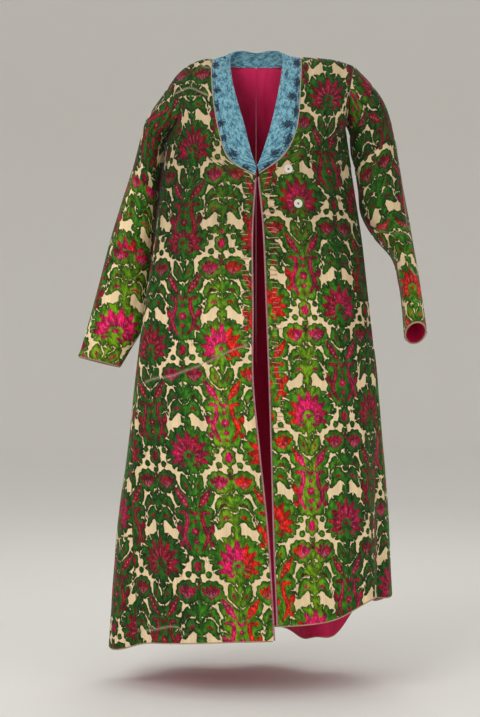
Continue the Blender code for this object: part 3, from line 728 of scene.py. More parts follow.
def foldRelief(place, height):
    total = np.zeros_like(place)
    for row in reliefs["folds"]:
        held = smooth((row.top - height) / 0.12) * smooth((height - row.foot) / 0.16)
        wander = 0.02 * np.sin(height * 9 + row.around * 7)
        total += row.out * mm * held * np.exp(-(((place - row.around - wander) / row.width) ** 2))
    return total


def rumpleRelief(across, down):
    chance = np.random.default_rng(7)
    total = np.zeros_like(across)
    for _ in range(reliefs["rumples"]):
        size = chance.uniform(0.03, 0.11)
        angle = chance.uniform(-0.9, 0.9)
        phase = chance.uniform(0, 2 * math.pi)
        along = (across * math.cos(angle) + down * math.sin(angle) * 0.6) * 2 * math.pi / size
        total += np.sin(along + phase + 0.8 * np.sin(down * 21 + phase)) * size * 9
    return total * reliefs["rumpleHeight"] / math.sqrt(reliefs["rumples"])


def polylineGap(x, z, points):
    best = np.full(x.shape, 1e3)
    place = np.zeros(x.shape)
    curve = curveThrough(points, 4 * len(points))
    for number, (a, b) in enumerate(zip(curve[:-1], curve[1:])):
        along = b - a
        t = np.clip(((x - a[0]) * along[0] + (z - a[1]) * along[1]) / along.dot(along), 0, 1)
        gap = np.hypot(x - a[0] - t * along[0], z - a[1] - t * along[1])
        place = np.where(gap < best, (number + t) / (len(curve) - 1), place)
        best = np.minimum(best, gap)
    return best, place


def creaseRelief(point, creases):
    out = np.zeros(point.shape[:-1])
    worn = np.zeros(point.shape[:-1])
    for row in creases:
        gap, place = polylineGap(point[..., 0], point[..., 2], row.points)
        ends = smooth(place / 0.22) * smooth((1 - place) / 0.22)
        out += row.out * mm * ends * np.exp(-((gap / row.width) ** 2))
        if row.worn:
            worn = np.maximum(worn, 0.5 * row.worn * smooth(4 * ends) * np.exp(-((gap / 0.0016) ** 2)))
    return out, worn


# Distances along the rows and down the columns of a grid of points, in metres.
def runs(points):
    across = np.linalg.norm(np.diff(points, axis=1), axis=-1)
    down = np.linalg.norm(np.diff(points, axis=0), axis=-1)
    across = np.concatenate([np.zeros((len(points), 1)), np.cumsum(across, axis=1)], axis=1)
    down = np.concatenate([np.zeros((1, points.shape[1])), np.cumsum(down, axis=0)], axis=0)
    return across, down


def quads(rows, columns, spans, start, backwards):
    row, column = np.meshgrid(np.arange(rows - 1), np.arange(spans), indexing="ij")
    here = [(row, column), (row + 1, column), (row + 1, column + 1), (row, column + 1)]
    if backwards:
        here.reverse()
    return np.stack([start + r * columns + c % columns for r, c in here], axis=-1).reshape(-1, 4)


# A closed wall between a fine outer grid and an inner grid that takes every coarse-th point.
def clothWall(name, outer, inner, wraps=False, coarse=1, values=None, dyes=None, uv=None):
    rows, columns = outer.shape[:2]
    innerRows, innerColumns = inner.shape[:2]
    spans = columns if wraps else columns - 1
    innerSpans = innerColumns if wraps else innerColumns - 1
    middle = outer[rows // 2 : rows // 2 + 2, columns // 2 : columns // 2 + 2]
    facing = np.cross(middle[1, 0] - middle[0, 0], middle[0, 1] - middle[0, 0])
    thick = outer[rows // 2, columns // 2] - inner[innerRows // 2, innerColumns // 2]
    backwards = facing.dot(thick) < 0
    under = rows * columns
    faces = [
        quads(rows, columns, spans, 0, backwards),
        quads(innerRows, innerColumns, innerSpans, under, not backwards),
    ]

    def outerAt(row, column):
        return row * columns + column % columns

    def innerAt(row, column):
        return under + row * innerColumns + column % innerColumns

    rims = []
    for n in range(innerSpans):
        fine = range(n * coarse, (n + 1) * coarse + 1)
        rims.append([outerAt(0, c) for c in fine] + [innerAt(0, n + 1), innerAt(0, n)])
        foot = [outerAt(rows - 1, c) for c in reversed(fine)]
        rims.append(foot + [innerAt(innerRows - 1, n), innerAt(innerRows - 1, n + 1)])
    if not wraps:
        for n in range(innerRows - 1):
            fine = range(n * coarse, (n + 1) * coarse + 1)
            first = [outerAt(r, 0) for r in reversed(fine)]
            rims.append(first + [innerAt(n, 0), innerAt(n + 1, 0)])
            last = [outerAt(r, columns - 1) for r in fine]
            rims.append(last + [innerAt(n + 1, innerColumns - 1), innerAt(n, innerColumns - 1)])
    rims = np.array(rims)
    if backwards:
        rims = rims[:, ::-1]
    counts = [len(faces[0]), len(faces[1]), len(rims)]
    corners = np.concatenate([faces[0].ravel(), faces[1].ravel(), rims.ravel()])
    totals = np.concatenate([np.full(counts[0] + counts[1], 4), np.full(counts[2], rims.shape[1])])
    mesh = bpy.data.meshes.new(name)
    points = np.concatenate([outer.reshape(-1, 3), inner.reshape(-1, 3)])
    mesh.vertices.add(len(points))
    mesh.vertices.foreach_set("co", points.astype(np.float32).ravel())
    mesh.loops.add(len(corners))
    mesh.loops.foreach_set("vertex_index", corners.astype(np.int32))
    mesh.polygons.add(len(totals))
    mesh.polygons.foreach_set("loop_start", (np.cumsum(totals) - totals).astype(np.int32))
    slots = np.concatenate([np.zeros(counts[0]), np.ones(counts[1]), np.zeros(counts[2])])
    mesh.polygons.foreach_set("material_index", slots.astype(np.int32))
    mesh.update(calc_edges=True)
    if uv is not None:
        innerUv = uv[::coarse, ::coarse][:innerRows, :innerColumns]
        flat = np.concatenate([uv.reshape(-1, 2), innerUv.reshape(-1, 2)])
        places = flat[corners]
        if wraps:
            # in the last column of faces, the points of column 0 lie a full turn on
            turned = np.zeros(len(corners), bool)
            first = faces[0].reshape(rows - 1, spans, 4)
            edge = np.zeros(first.shape, bool)
            edge[:, -1] = first[:, -1] % columns == 0
            turned[: first.size] = edge.ravel()
            places[turned, 0] += np.linalg.norm(np.diff(outer[0], axis=0), axis=-1).sum() + 0.0025
        mesh.uv_layers.new(name="cloth").data.foreach_set("uv", places.astype(np.float32).ravel())
    for key, field in (values or {}).items():
        full = np.concatenate([field.ravel(), np.full(inner.size // 3, field.flat[0])])
        mesh.attributes.new(key, "FLOAT", "POINT").data.foreach_set("value", full.astype(np.float32))
    for key, field in (dyes or {}).items():
        full = np.ones((len(points), 4))
        full[:under, :3] = field.reshape(-1, 3)
        layer = mesh.color_attributes.new(key, "FLOAT_COLOR", "POINT")
        layer.data.foreach_set("color", full.astype(np.float32).ravel())
    mesh.shade_smooth()
    mesh.set_sharp_from_angle(angle=math.radians(58))
    return mesh


def addPiece(name, mesh, materials, replaced=()):
    piece = bpy.data.objects.new(name, mesh)
    for material in materials:
        mesh.materials.append(material)
    bpy.context.scene.collection.objects.link(piece)
    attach(piece, "root")
    if replaced:
        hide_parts(*replaced)
    return piece


# Round tubes of a few sides along short runs of points, all in one mesh.
def tubes(name, lines, radius, sides=8, flatten=1.0, lifts=None):
    points, faces = [], []
    angle = np.arange(sides) * 2 * math.pi / sides
    for number, line in enumerate(lines):
        line = np.array(line)
        along = unit(np.gradient(line, axis=0))
        lift = unit(lifts[number]) if lifts is not None else np.tile([0.0, -1.0, 0.0], (len(line), 1))
        side = unit(np.cross(along, lift))
        lift = unit(np.cross(side, along))
        size = np.full(len(line), radius) if np.isscalar(radius) else np.asarray(radius)
        ring = side[:, None] * np.cos(angle)[None, :, None]
        ring = ring + lift[:, None] * np.sin(angle)[None, :, None] * flatten
        start = len(points)
        points.extend((line[:, None] + ring * size[:, None, None]).reshape(-1, 3).tolist())
        for r in range(len(line) - 1):
            for c in range(sides):
                d = (c + 1) % sides
                a, b = start + r * sides, start + (r + 1) * sides
                faces.append([a + c, a + d, b + d, b + c])
        faces.append([start + c for c in reversed(range(sides))])
        faces.append([start + (len(line) - 1) * sides + c for c in range(sides)])
    mesh = bpy.data.meshes.new(name)
    mesh.from_pydata(points, [], faces)
    mesh.update()
    mesh.shade_smooth()
    mesh.set_sharp_from_angle(angle=math.radians(60))
    return mesh


class Wire:
    def __init__(self, tree, socket=None):
        self.tree = tree
        self.socket = socket

    def node(self, kind, settings=None, values=None, out=0):
        made = self.tree.nodes.new(kind)
        for key, value in (settings or {}).items():
            setattr(made, key, value)
        for key, value in (values or {}).items():
            if isinstance(value, Wire):
                self.tree.links.new(value.socket, made.inputs[key])
            else:
                made.inputs[key].default_value = value
        return Wire(self.tree, made.outputs[out])

    def math(self, operation, *values, clamp=False):
        settings = {"operation": operation, "use_clamp": clamp}
        return self.node("ShaderNodeMath", settings, dict(enumerate(values)))

    def __add__(self, other):
        return self.math("ADD", self, other)

    __radd__ = __add__

    def __mul__(self, other):
        return self.math("MULTIPLY", self, other)

    __rmul__ = __mul__

    def __sub__(self, other):
        return self.math("SUBTRACT", self, other)

    def __rsub__(self, other):
        return self.math("SUBTRACT", other, self)

    def ramp(self, low, high, first=0.0, last=1.0):
        ends = {"Value": self, "From Min": low, "From Max": high, "To Min": first, "To Max": last}
        return self.node("ShaderNodeMapRange", {"interpolation_type": "SMOOTHSTEP"}, ends)

    # this wire is the share of the second colour
    def mix(self, first, second, blend="MIX"):
        settings = {"data_type": "RGBA", "blend_type": blend, "clamp_factor": True}
        return self.node("ShaderNodeMix", settings, {0: self, 6: first, 7: second}, 2)

    # a colour made darker or lighter
    def shaded(self, dye, factor):
        settings = {"data_type": "RGBA", "blend_type": "MULTIPLY"}
        return self.node("ShaderNodeMix", settings, {0: 1.0, 6: dye, 7: factor}, 2)

    def scaled(self, factors):
        return self.node("ShaderNodeVectorMath", {"operation": "MULTIPLY"}, {0: self, 1: factors})

    def noise(self, factors, detail=2.0, roughness=0.5, scale=1.0):
        values = {"Vector": self.scaled(factors), "Scale": scale, "Detail": detail, "Roughness": roughness}
        return self.node("ShaderNodeTexNoise", {}, values)

    def cells(self, scale, feature):
        values = {"Vector": self, "Scale": scale, "Randomness": 0.75}
        return self.node("ShaderNodeTexVoronoi", {"voronoi_dimensions": "2D", "feature": feature}, values)

    def field(self, name, out=2):
        settings = {"attribute_type": "GEOMETRY", "attribute_name": name}
        return self.node("ShaderNodeAttribute", settings, {}, out)


def colour(code):
    parts = [int(code[n : n + 2], 16) / 255 for n in (0, 2, 4)]
    return tuple(c / 12.92 if c <= 0.04045 else ((c + 0.055) / 1.055) ** 2.4 for c in parts) + (1.0,)


def newMaterial(name, constants):
    made = bpy.data.materials.new(name)
    made.use_nodes = True
    shader = made.node_tree.nodes["Principled BSDF"]
    for key, value in constants.items():
        shader.inputs[key].default_value = value
    return made, shader, Wire(made.node_tree)


def joinUp(tree, wire, shader, key):
    tree.links.new(wire.socket, shader.inputs[key])


def bumped(wire, height, strength, distance):
    return wire.node("ShaderNodeBump", {}, {"Strength": strength, "Distance": distance, "Height": height})


velvetLook = {
    "ground": "F2DDB6",
    "groundDeep": "E4C698",
    "brown": "6E3A22",
    "worn": "E3C6B0",
    "vein": "C79AA0",
    "lobes": 100.0,
    "petals": 170.0,
    "fray": 1.5,
    "edge": 0.35,
    "flecks": 0.62,
}


def velvetMaterial():
    look = velvetLook
    made, shader, w = newMaterial(
        "velvet",
        {
            "Sheen Weight": 0.08,
            "Sheen Roughness": 0.4,
            "Sheen Tint": (1, 0.93, 0.86, 1),
            "Specular IOR Level": 0.2,
        },
    )
    cloth = w.node("ShaderNodeUVMap", {"uv_map": "cloth"})
    fray = cloth.noise((900, 190, 1), 2.0, 0.6) - 0.5
    wisps = cloth.noise((330, 60, 1), 1.0) - 0.5
    ragged = (fray * look["fray"] + wisps * look["fray"]) * 1.6
    # small rounded lobes give every outline its scallops, and leave loose dots on the ground
    lobes = cloth.cells(look["lobes"], "SMOOTH_F1")
    petals = cloth.cells(look["petals"], "F1")
    leafGap = w.field("leafEdge") + (lobes - 0.40) * 2.5
    bloomGap = w.field("bloomEdge") + (petals - 0.42) * 3.5
    leaf = (leafGap + ragged).ramp(-look["edge"], look["edge"], 1.0, 0.0)
    bloom = (bloomGap + ragged * 1.2).ramp(-1.0, 0.5, 1.0, 0.0)
    strands = cloth.noise((1500, 26, 1), 2.0, 0.7)
    broad = cloth.noise((60, 7, 1), 3.0, 0.6)
    ground = strands.ramp(0.3, 0.75).mix(colour(look["groundDeep"]), colour(look["ground"]))
    leafDye = w.field("leafDye", 0)
    bloomDye = w.field("bloomDye", 0)
    bloomDye = w.field("darkEdge").mix(bloomDye, colour(look["brown"]))
    # painted light and shade on the pile: the pile leans about, so it is painted light in one place and
    # nearly black in the next
    clouds = cloth.noise((95, 55, 1), 3.0, 0.62)
    tufts = cloth.noise((420, 130, 1), 2.0, 0.65)
    lean = clouds.ramp(0.36, 0.66)
    # painted shade: the pile is painted darker towards the rims of leaves and petals
    leafRimShade = leafGap.ramp(-6.5, -0.3, 1.1, 0.34)
    leafShade = leafRimShade * lean.ramp(0.0, 1.0, 0.45, 1.2) * tufts.ramp(0.3, 0.7, 0.7, 1.2)
    bloomRimShade = bloomGap.ramp(-4.6, -0.4, 1.1, 0.55)
    bloomShade = bloomRimShade * lean.ramp(0.0, 1.0, 0.4, 1.15) * tufts.ramp(0.3, 0.72, 0.55, 1.25)
    leafDye = w.shaded(leafDye, leafShade)
    veins = (w.field("veinEdge") + ragged * 0.5).ramp(-0.8, 0.5, 0.5, 0.0)
    bloomDye = veins.mix(w.shaded(bloomDye, bloomShade), colour(look["vein"]))
    dyed = leaf.mix(ground, leafDye)
    thin = tufts.ramp(0.6, 0.72, 0.0, 0.6)
    dyed = (bloom * (1 - thin * (1 - lean))).mix(dyed, bloomDye)
    pile = leaf.math("MAXIMUM", leaf, bloom)
    # cream warps show through the pile in short streaks
    streaks = cloth.noise((1300, 160, 1), 2.0, 0.75)
    bare = streaks.ramp(look["flecks"], look["flecks"] + 0.12) * 0.4
    dyed = (bare * pile).mix(dyed, colour(look["ground"]))
    shade = broad.ramp(0.25, 0.75, 0.88, 1.08) * strands.ramp(0.2, 0.8, 0.93, 1.05)
    dyed = w.shaded(dyed, shade * w.field("tone"))
    worn = w.field("worn") * cloth.noise((420, 420, 1), 2.0).ramp(0.25, 0.7, 0.55, 1.0)
    dyed = worn.mix(dyed, colour(look["worn"]))
    joinUp(made.node_tree, dyed, shader, "Base Color")
    rough = 0.88 - pile * 0.12 + (strands - 0.5) * 0.2
    joinUp(made.node_tree, rough, shader, "Roughness")
    nap = cloth.noise((1800, 900, 1), 2.0, 0.7) * 0.6 + strands * 0.5
    joinUp(made.node_tree, bumped(w, nap, 0.5, 0.0006), shader, "Normal")
    return made


def liningMaterial():
    made, shader, w = newMaterial(
        "lining", {"Sheen Weight": 0.0, "Specular IOR Level": 0.2}
    )
    cloth = w.node("ShaderNodeUVMap", {"uv_map": "cloth"})
    broad = cloth.noise((14, 5, 1), 3.0, 0.6)
    threads = cloth.noise((1500, 200, 1), 2.0, 0.6)
    dyed = broad.ramp(0.3, 0.7).mix(colour("B80C44"), colour("E02462"))
    dyed = (threads.ramp(0.45, 0.8) * 0.4).mix(dyed, colour("E84470"))
    joinUp(made.node_tree, dyed, shader, "Base Color")
    joinUp(made.node_tree, threads.ramp(0.2, 0.8, 0.42, 0.62), shader, "Roughness")
    creped = cloth.noise((220, 40, 1), 3.0, 0.6)
    joinUp(made.node_tree, bumped(w, creped + threads * 0.3, 0.45, 0.0008), shader, "Normal")
    return made


def plushMaterial():
    made, shader, w = newMaterial(
        "plush", {"Sheen Weight": 0.12, "Sheen Roughness": 0.45, "Sheen Tint": (0.85, 0.95, 1, 1)}
    )
    cloth = w.node("ShaderNodeUVMap", {"uv_map": "cloth"})
    tufts = cloth.noise((700, 160, 1), 3.0, 0.7)
    cloud = cloth.noise((150, 70, 1), 3.0, 0.65)
    patch = cloth.noise((260, 190, 1), 3.0, 0.7)
    blue = cloud.ramp(0.36, 0.62).mix(colour("2A7392"), colour("84C2D2"))
    # painted highlight: the tops of the tufts are painted pale blue
    blue = (tufts.ramp(0.54, 0.66) * 0.7).mix(blue, colour("BFE0E4"))
    navy = (w.field("navy") * 1.1 + (patch - 0.5) * 3.0 + (tufts - 0.5) * 1.0).ramp(0.5, 0.8)
    dyed = navy.mix(blue, colour("10304A"))
    # painted shade: the pile between the tufts is painted darker
    shade = tufts.ramp(0.25, 0.75, 0.6, 1.0)
    dyed = w.shaded(dyed, shade)
    joinUp(made.node_tree, dyed, shader, "Base Color")
    joinUp(made.node_tree, tufts.ramp(0.3, 0.8, 0.7, 0.95), shader, "Roughness")
    joinUp(made.node_tree, bumped(w, tufts, 0.8, 0.0012), shader, "Normal")
    return made


def bandMaterial(name, light, deep):
    made, shader, w = newMaterial(name, {"Sheen Weight": 0.15, "Sheen Roughness": 0.4})
    cloth = w.node("ShaderNodeUVMap", {"uv_map": "cloth"})
    cross = cloth.noise((300, 1100, 1), 2.0, 0.6)
    patches = cloth.noise((60, 24, 1), 3.0, 0.6)
    dyed = cross.ramp(0.3, 0.7).mix(colour(deep), colour(light))
    dyed = (patches.ramp(0.45, 0.7) * 0.5).mix(dyed, colour(deep))
    joinUp(made.node_tree, dyed, shader, "Base Color")
    joinUp(made.node_tree, cross.ramp(0.3, 0.7, 0.66, 0.86), shader, "Roughness")
    joinUp(made.node_tree, bumped(w, cross, 0.5, 0.0004), shader, "Normal")
    return made


def plainMaterial(name, code, roughness, mottled=None, coat=0.0):
    made, shader, w = newMaterial(name, {"Coat Weight": coat, "Base Color": colour(code)})
    place = w.node("ShaderNodeTexCoord", {}, {}, 3)
    spots = place.noise((600, 600, 600), 2.0)
    if mottled:
        joinUp(made.node_tree, spots.mix(colour(code), colour(mottled)), shader, "Base Color")
    joinUp(made.node_tree, spots.ramp(0.2, 0.8, roughness - 0.06, roughness + 0.06), shader, "Roughness")
    joinUp(made.node_tree, bumped(w, spots, 0.15, 0.0003), shader, "Normal")
    return made


velvet = velvetMaterial()
lining = liningMaterial()
plush = plushMaterial()
edging = bandMaterial("edging", "BE9092", "83525F")
hemBand = bandMaterial("edging_hem", "C9AF8E", "96705C")
cordLook = plainMaterial("cord", "CDB59A", 0.8, "8F7A6C")
navyThread = plainMaterial("thread_navy", "141C33", 0.8, "26304C")
paleThread = plainMaterial("thread_pale", "CF9C86", 0.8, "9A6A58")
shell = plainMaterial("button_white", "E4E0D6", 0.32, "CFC8BA", 0.5)
print("surfaces made")


# dyes of the pile by how far a thread lies from the front edge, in millimetres
dyeStripes = {
    "bloom": [
        (0, "DE1E12"), (44, "F0200E"), (54, "F4186C"), (80, "F01466"), (92, "B80C48"),
        (120, "A40832"), (150, "B40A44"), (172, "B60C4C"), (188, "960628"), (300, "960628"),
    ],
    "leaf": [
        (0, "4A8A0C"), (48, "4A8A0C"), (60, "6E9A0A"), (82, "6E9A0A"), (96, "367C0C"),
        (128, "367C0C"), (150, "1E5A10"), (300, "1E5A10"),
    ],
    "bloomUpper": "8A0018",
    "leafUpper": "14560C",
    "upperShare": 0.55,
}


def stripeDye(key, across, height):
    table = dyeStripes[key]
    places = [row[0] for row in table]
    codes = np.array([colour(row[1])[:3] for row in table])
    found = np.stack([np.interp(across / mm, places, codes[:, n]) for n in range(3)], axis=-1)
    upper = smooth((height + 0.52) / 0.14)[..., None] * dyeStripes["upperShare"]
    return found * (1 - upper) + np.array(colour(dyeStripes[key + "Upper"])[:3]) * upper


cell = robe["cell"]


def evenly(values, points, count):
    length = runLengths(points)
    return np.interp(np.linspace(0, length[-1], count + 1), length, values)


def sheetArea(points):
    first = points[1:, 1:] - points[:-1, :-1]
    second = points[1:, :-1] - points[:-1, 1:]
    return float(np.linalg.norm(np.cross(first, second), axis=-1).sum() / 2)


def pullIn(outer, inner, sides, gap):
    lines = {
        "first": (np.s_[:, 0], np.s_[:, 1]),
        "last": (np.s_[:, -1], np.s_[:, -2]),
        "top": (np.s_[0], np.s_[1]),
        "foot": (np.s_[-1], np.s_[-2]),
    }
    for grid in (outer, inner):
        moves = [(lines[s][0], unit(grid[lines[s][1]] - grid[lines[s][0]]) * gap / 2) for s in sides]
        for line, move in moves:
            grid[line] += move


def seamRelief(across, down, seams):
    gap = np.full(across.shape, 1.0)
    for name, distance in (
        ("first", across),
        ("last", across[:, -1:] - across),
        ("top", down),
        ("foot", down[-1:] - down),
    ):
        if name in seams:
            gap = np.minimum(gap, distance)
    puckers = 1 + 0.5 * np.sin((down + across * 0.7) / 0.0031 + 2 * np.sin(down / 0.011))
    near = np.exp(-((gap / reliefs["seamReach"]) ** 2))
    beside = np.exp(-(((gap - 0.007) / 0.005) ** 2))
    return -reliefs["seamDip"] * near * (0.7 + 0.3 * puckers) + 0.00028 * beside * (puckers - 1)


def velvetPiece(name, outer, normal, place, creases, design, dyeAt, seams, wraps=False, bright=None):
    across, down = runs(outer)
    u, v = design
    leaf, bloom = readRepeat(leafLayer, u, v), readRepeat(bloomLayer, u, v)
    vein, dark = readRepeat(veinLayer, u, v), readRepeat(darkLayer, u, v)
    # the pile is darker from the waist up
    tone = 1.02 - 0.30 * smooth((outer[..., 2] + 0.50) / 0.22)
    if bright is not None:
        tone = np.full(u.shape, bright)
    low = foldRelief(place, outer[..., 2]) + rumpleRelief(across + place[0, 0], outer[..., 2])
    out, worn = creaseRelief(outer, creases)
    if not name.startswith("back"):
        # these creases were placed as seen from the front
        facing = smooth((0.25 - normal[..., 1]) / 0.5)
        out, worn = out * facing, worn * facing
    low = low + out
    if wraps:
        # the wrap falls under the arm, where both ends must agree
        turn = np.arange(outer.shape[1]) / outer.shape[1]
        low = low * smooth(np.minimum(turn, 1 - turn) / 0.06)
    fine = reliefs["pile"] * smooth(0.5 - np.minimum(leaf, bloom) / 1.6)
    fine = fine + seamRelief(across, down, seams)
    inner = outer[::4, ::4] + normal[::4, ::4] * (low[::4, ::4] - robe["wall"])[..., None]
    shown = outer + normal * (low + fine)[..., None]
    pullIn(shown, inner, [s for s in seams if not wraps or s in ("top", "foot")], robe["seamGap"])
    uv = np.stack([across, -down], axis=-1)
    mesh = clothWall(
        name,
        shown,
        inner,
        wraps=wraps,
        coarse=4,
        values={
            "leafEdge": leaf, "bloomEdge": bloom, "veinEdge": vein,
            "darkEdge": dark, "worn": worn, "tone": tone,
        },
        dyes={key + "Dye": stripeDye(key, dyeAt, outer[..., 2]) for key in ("leaf", "bloom")},
        uv=uv,
    )
    piece = addPiece("shown_" + name, mesh, [velvet, lining], [name])
    flat = (float(across[:, -1].max()), float(down[-1].max()))
    return piece, flat, sheetArea(outer)


def bodyGrid(side, span, low, high):
    levels = np.linspace(low, high, 200)
    first, last = spans[span](levels)
    middle = body(side, (first + last) / 2, levels)
    length = np.linalg.norm(np.diff(middle, axis=0), axis=-1).sum()
    rows = 4 * max(2, round(length / cell / 4))
    level = evenly(levels, middle, rows)
    first, last = spans[span](level)
    wide = body(side, np.linspace(first[-1], last[-1], 60), level[-1])
    columns = 4 * max(2, round(np.linalg.norm(np.diff(wide, axis=0), axis=-1).sum() / cell / 4))
    around = first[:, None] + (last - first)[:, None] * np.linspace(0, 1, columns + 1)
    level = np.repeat(level[:, None], columns + 1, axis=1)
    return around, level


# where the figure's axis lies from the front edge, and where down the repeat each cut starts
frontCuts = {
    "left": {"axis": 0.058, "half": 0.078, "length": 0.412, "upper": 236, "lower": 52},
    "right": {"axis": 0.072, "half": 0.074, "length": 0.412, "lower": 338},
}


def frontDesign(word, side, outer, upper):
    across, down = runs(outer)
    edge = np.abs(outer[:, :1, 0])
    start = np.where(outer[:, :1, 2] > -0.235, (edge - 0.004) * 1.1, 0)
    distance = across + start
    cut = frontCuts[word]
    u = (distance - cut["axis"]) * side * 80 / cut["half"]
    v = cut["upper" if upper else "lower"] - outer[..., 2] * repeat["down"] / cut["length"]
    return u, v, distance


cloths = []
frontPieces = [
    ("front_left_upper", -1, "left", 0, 5, True, frontCreases["leftUpper"]),
    ("front_left_lower", -1, "left", 5, 10, False, frontCreases["leftLower"]),
    ("front_right", 1, "right", 0, 10, False, frontCreases["right"]),
]
for name, side, word, low, high, upper, creases in frontPieces:
    around, level = bodyGrid(side, "front", low, high)
    outer = body(side, around, level)
    normal = bodyNormal(side, around, level)
    u, v, distance = frontDesign(word, side, outer, upper)
    seams = ["last"] + (["foot"] if name == "front_left_upper" else ["top"])
    place = ringPlace(side, around)
    piece, flat, area = velvetPiece(name, outer, normal, place, creases, (u, v), distance, seams)
    cloths.append((piece, flat, area, "hung"))
print("fronts made")

for word, side in (("left", -1), ("right", 1)):
    around, level = bodyGrid(side, "back", 0, 10)
    outer = body(side, around, level)
    normal = bodyNormal(side, around, level)
    across, down = runs(outer)
    distance = across[:, -1:] - across
    u = (distance - 0.045) * side * 80 / 0.080
    v = (-0.30 - outer[..., 2]) * repeat["down"] / 0.415
    place, seams = ringPlace(side, around), ["first", "last", "top"]
    creases = backCreases[word]
    piece, flat, area = velvetPiece("back_" + word, outer, normal, place, creases, (u, v), distance, seams)
    cloths.append((piece, flat, area, "hung"))

gorePieces = [
    ("gore_left_upper", -1, 5.5, 9, 35, 150),
    ("gore_left_lower", -1, 9, 10, -20, 40),
    ("gore_right", 1, 5.5, 10, 50, 210),
]
for name, side, low, high, shift, start in gorePieces:
    around, level = bodyGrid(side, "gore", low, high)
    outer = body(side, around, level)
    normal = bodyNormal(side, around, level)
    across, down = runs(outer)
    distance = across - across[:, -1:] / 2
    u = distance * side * -80 / 0.078 + shift
    v = start + (outer[0, 0, 2] - outer[..., 2]) * repeat["down"] / 0.415
    seams = ["first", "last", "top"] + (["foot"] if high == 9 else [])
    piece, flat, area = velvetPiece(
        name, outer, normal, ringPlace(side, around), [], (u, v), np.abs(distance) * 1.2 + 0.1, seams
    )
    cloths.append((piece, flat, area, "hung"))
print("backs and gores made")

# for each piece: which axis of the figure, at what turn, and where down the repeat it starts
SleeveCut = namedtuple("SleeveCut", "axis turn start dye bright")
sleeveCuts = {
    "head": {-1: SleeveCut(80, 0.27, 96, 0.13, 0.85), 1: SleeveCut(0, 0.33, -46, 0.05, 0.78)},
    "upper": {-1: SleeveCut(80, 0.27, 128, 0.16, 1.0), 1: SleeveCut(26, 0.30, 60, 0.16, 0.72)},
    "elbow": {-1: SleeveCut(0, 0.27, 52, 0.04, 1.15), 1: SleeveCut(80, 0.28, 238, 0.10, 0.80)},
    "forearm": {-1: SleeveCut(0, 0.27, 50, 0.06, 1.15), 1: SleeveCut(0, 0.26, 60, 0.02, 1.0)},
}
for key, ends in sleevePieces.items():
    for word, side in (("left", -1), ("right", 1)):
        low, high = ends[side]
        alongs = np.linspace(low, high, 40)
        run = sleeveFace(side, np.array([0.25]), alongs)[:, 0]
        length = np.linalg.norm(np.diff(run, axis=0), axis=-1).sum()
        rows = 4 * max(2, round(length / cell / 4))
        along = evenly(alongs, run, rows)
        ring = sleeveFace(side, np.linspace(0, 1, 80), np.array([low]))[0]
        columns = 4 * round(np.linalg.norm(np.diff(ring, axis=0), axis=-1).sum() / cell / 4)
        turn = (0.5 + np.arange(columns) / columns) % 1
        outer = sleeveFace(side, turn, along)
        normal = sleeveNormal(side, turn, along)
        across, down = runs(outer)
        cut = sleeveCuts[key][side]
        total = across[:, -1:] + np.linalg.norm(outer[:, :1] - outer[:, -1:], axis=-1)
        passed = (np.arange(columns) / columns)[None, :] * total
        middle = total * ((cut.turn + 0.5) % 1)
        u = cut.axis + (passed - middle) * -side * 80 / 0.077
        v = cut.start + down * repeat["down"] / 0.405
        place = np.broadcast_to(0.3 + turn[None, :] * 0.1, u.shape)
        creases = frontCreases[word + "Sleeve"]
        dyeAt = np.abs(passed - middle) + cut.dye
        seams = ["top", "foot"] if key != "forearm" else ["top"]
        piece, flat, area = velvetPiece(
            f"sleeve_{word}_{key}", outer, normal, place, creases, (u, v), dyeAt, seams, True, cut.bright
        )
        flat = (float(total.max()), float(down[-1].max()))
        cloths.append((piece, flat, float(min(area * 1.01, flat[0] * flat[1])), "hung"))
print("sleeves made")


liningLook = {"wrinkles": 34, "height": 0.00045, "broad": 0.0011, "cell": 0.0032}


def liningRelief(across, down, seed):
    chance = np.random.default_rng(seed)
    wave = np.sin(across * 96 + 2 * np.sin(down * 7 + seed))
    total = liningLook["broad"] * wave * np.sin(down * 11 + across * 9)
    for _ in range(liningLook["wrinkles"]):
        x = chance.uniform(0, across.max())
        y = chance.uniform(0, down.max())
        lean = chance.uniform(-0.12, 0.12)
        tall = chance.uniform(0.03, 0.12)
        wide = chance.uniform(0.0022, 0.0045)
        near = np.exp(-(((across - x - lean * (down - y)) / wide) ** 2) - ((down - y) / tall) ** 2)
        total += liningLook["height"] * chance.choice([-2.0, 2.4]) * near
    return total


for word, side in (("left", -1), ("right", 1)):
    cell = liningLook["cell"]
    around, level = bodyGrid(side, "back", 0.5, 10)
    outer = body(side, around, level)
    normal = bodyNormal(side, around, level)
    across, down = runs(outer)
    edge = np.minimum(np.minimum(across, across[:, -1:] - across), np.minimum(down, down[-1:] - down))
    relief = liningRelief(across, down, 3 + side) * smooth(edge / 0.012)
    relief = relief + 0.0005 * np.exp(-((edge / 0.003) ** 2))
    place, height = ringPlace(side, around), outer[..., 2]
    drape = foldRelief(place, height) + rumpleRelief(across + place[0, 0], height)
    near = robe["wall"] + robe["liningGap"]
    hidden = outer + normal * (drape - near)[..., None]
    shown = hidden - normal * (robe["liningWall"] + np.clip(relief, -0.0003, 0.004))[..., None]
    hidden = hidden[::4, ::4].copy()
    pullIn(shown, hidden, ["first", "last", "top", "foot"], 0.0003)
    mesh = clothWall("lining_back_" + word, shown, hidden, coarse=4, uv=np.stack([across, -down], axis=-1))
    mesh.polygons.foreach_set("material_index", np.zeros(len(mesh.polygons), np.int32))
    piece = addPiece("shown_lining_back_" + word, mesh, [lining], ["lining_back_" + word])
    cloths.append((piece, (float(across[:, -1].max()), float(down[-1].max())), sheetArea(outer), "hung"))
cell = robe["cell"]
print("linings made")


collarLook = {"wall": 0.0030, "bulge": 0.0030, "across": 16, "gap": 0.0010, "tuft": 0.0004}
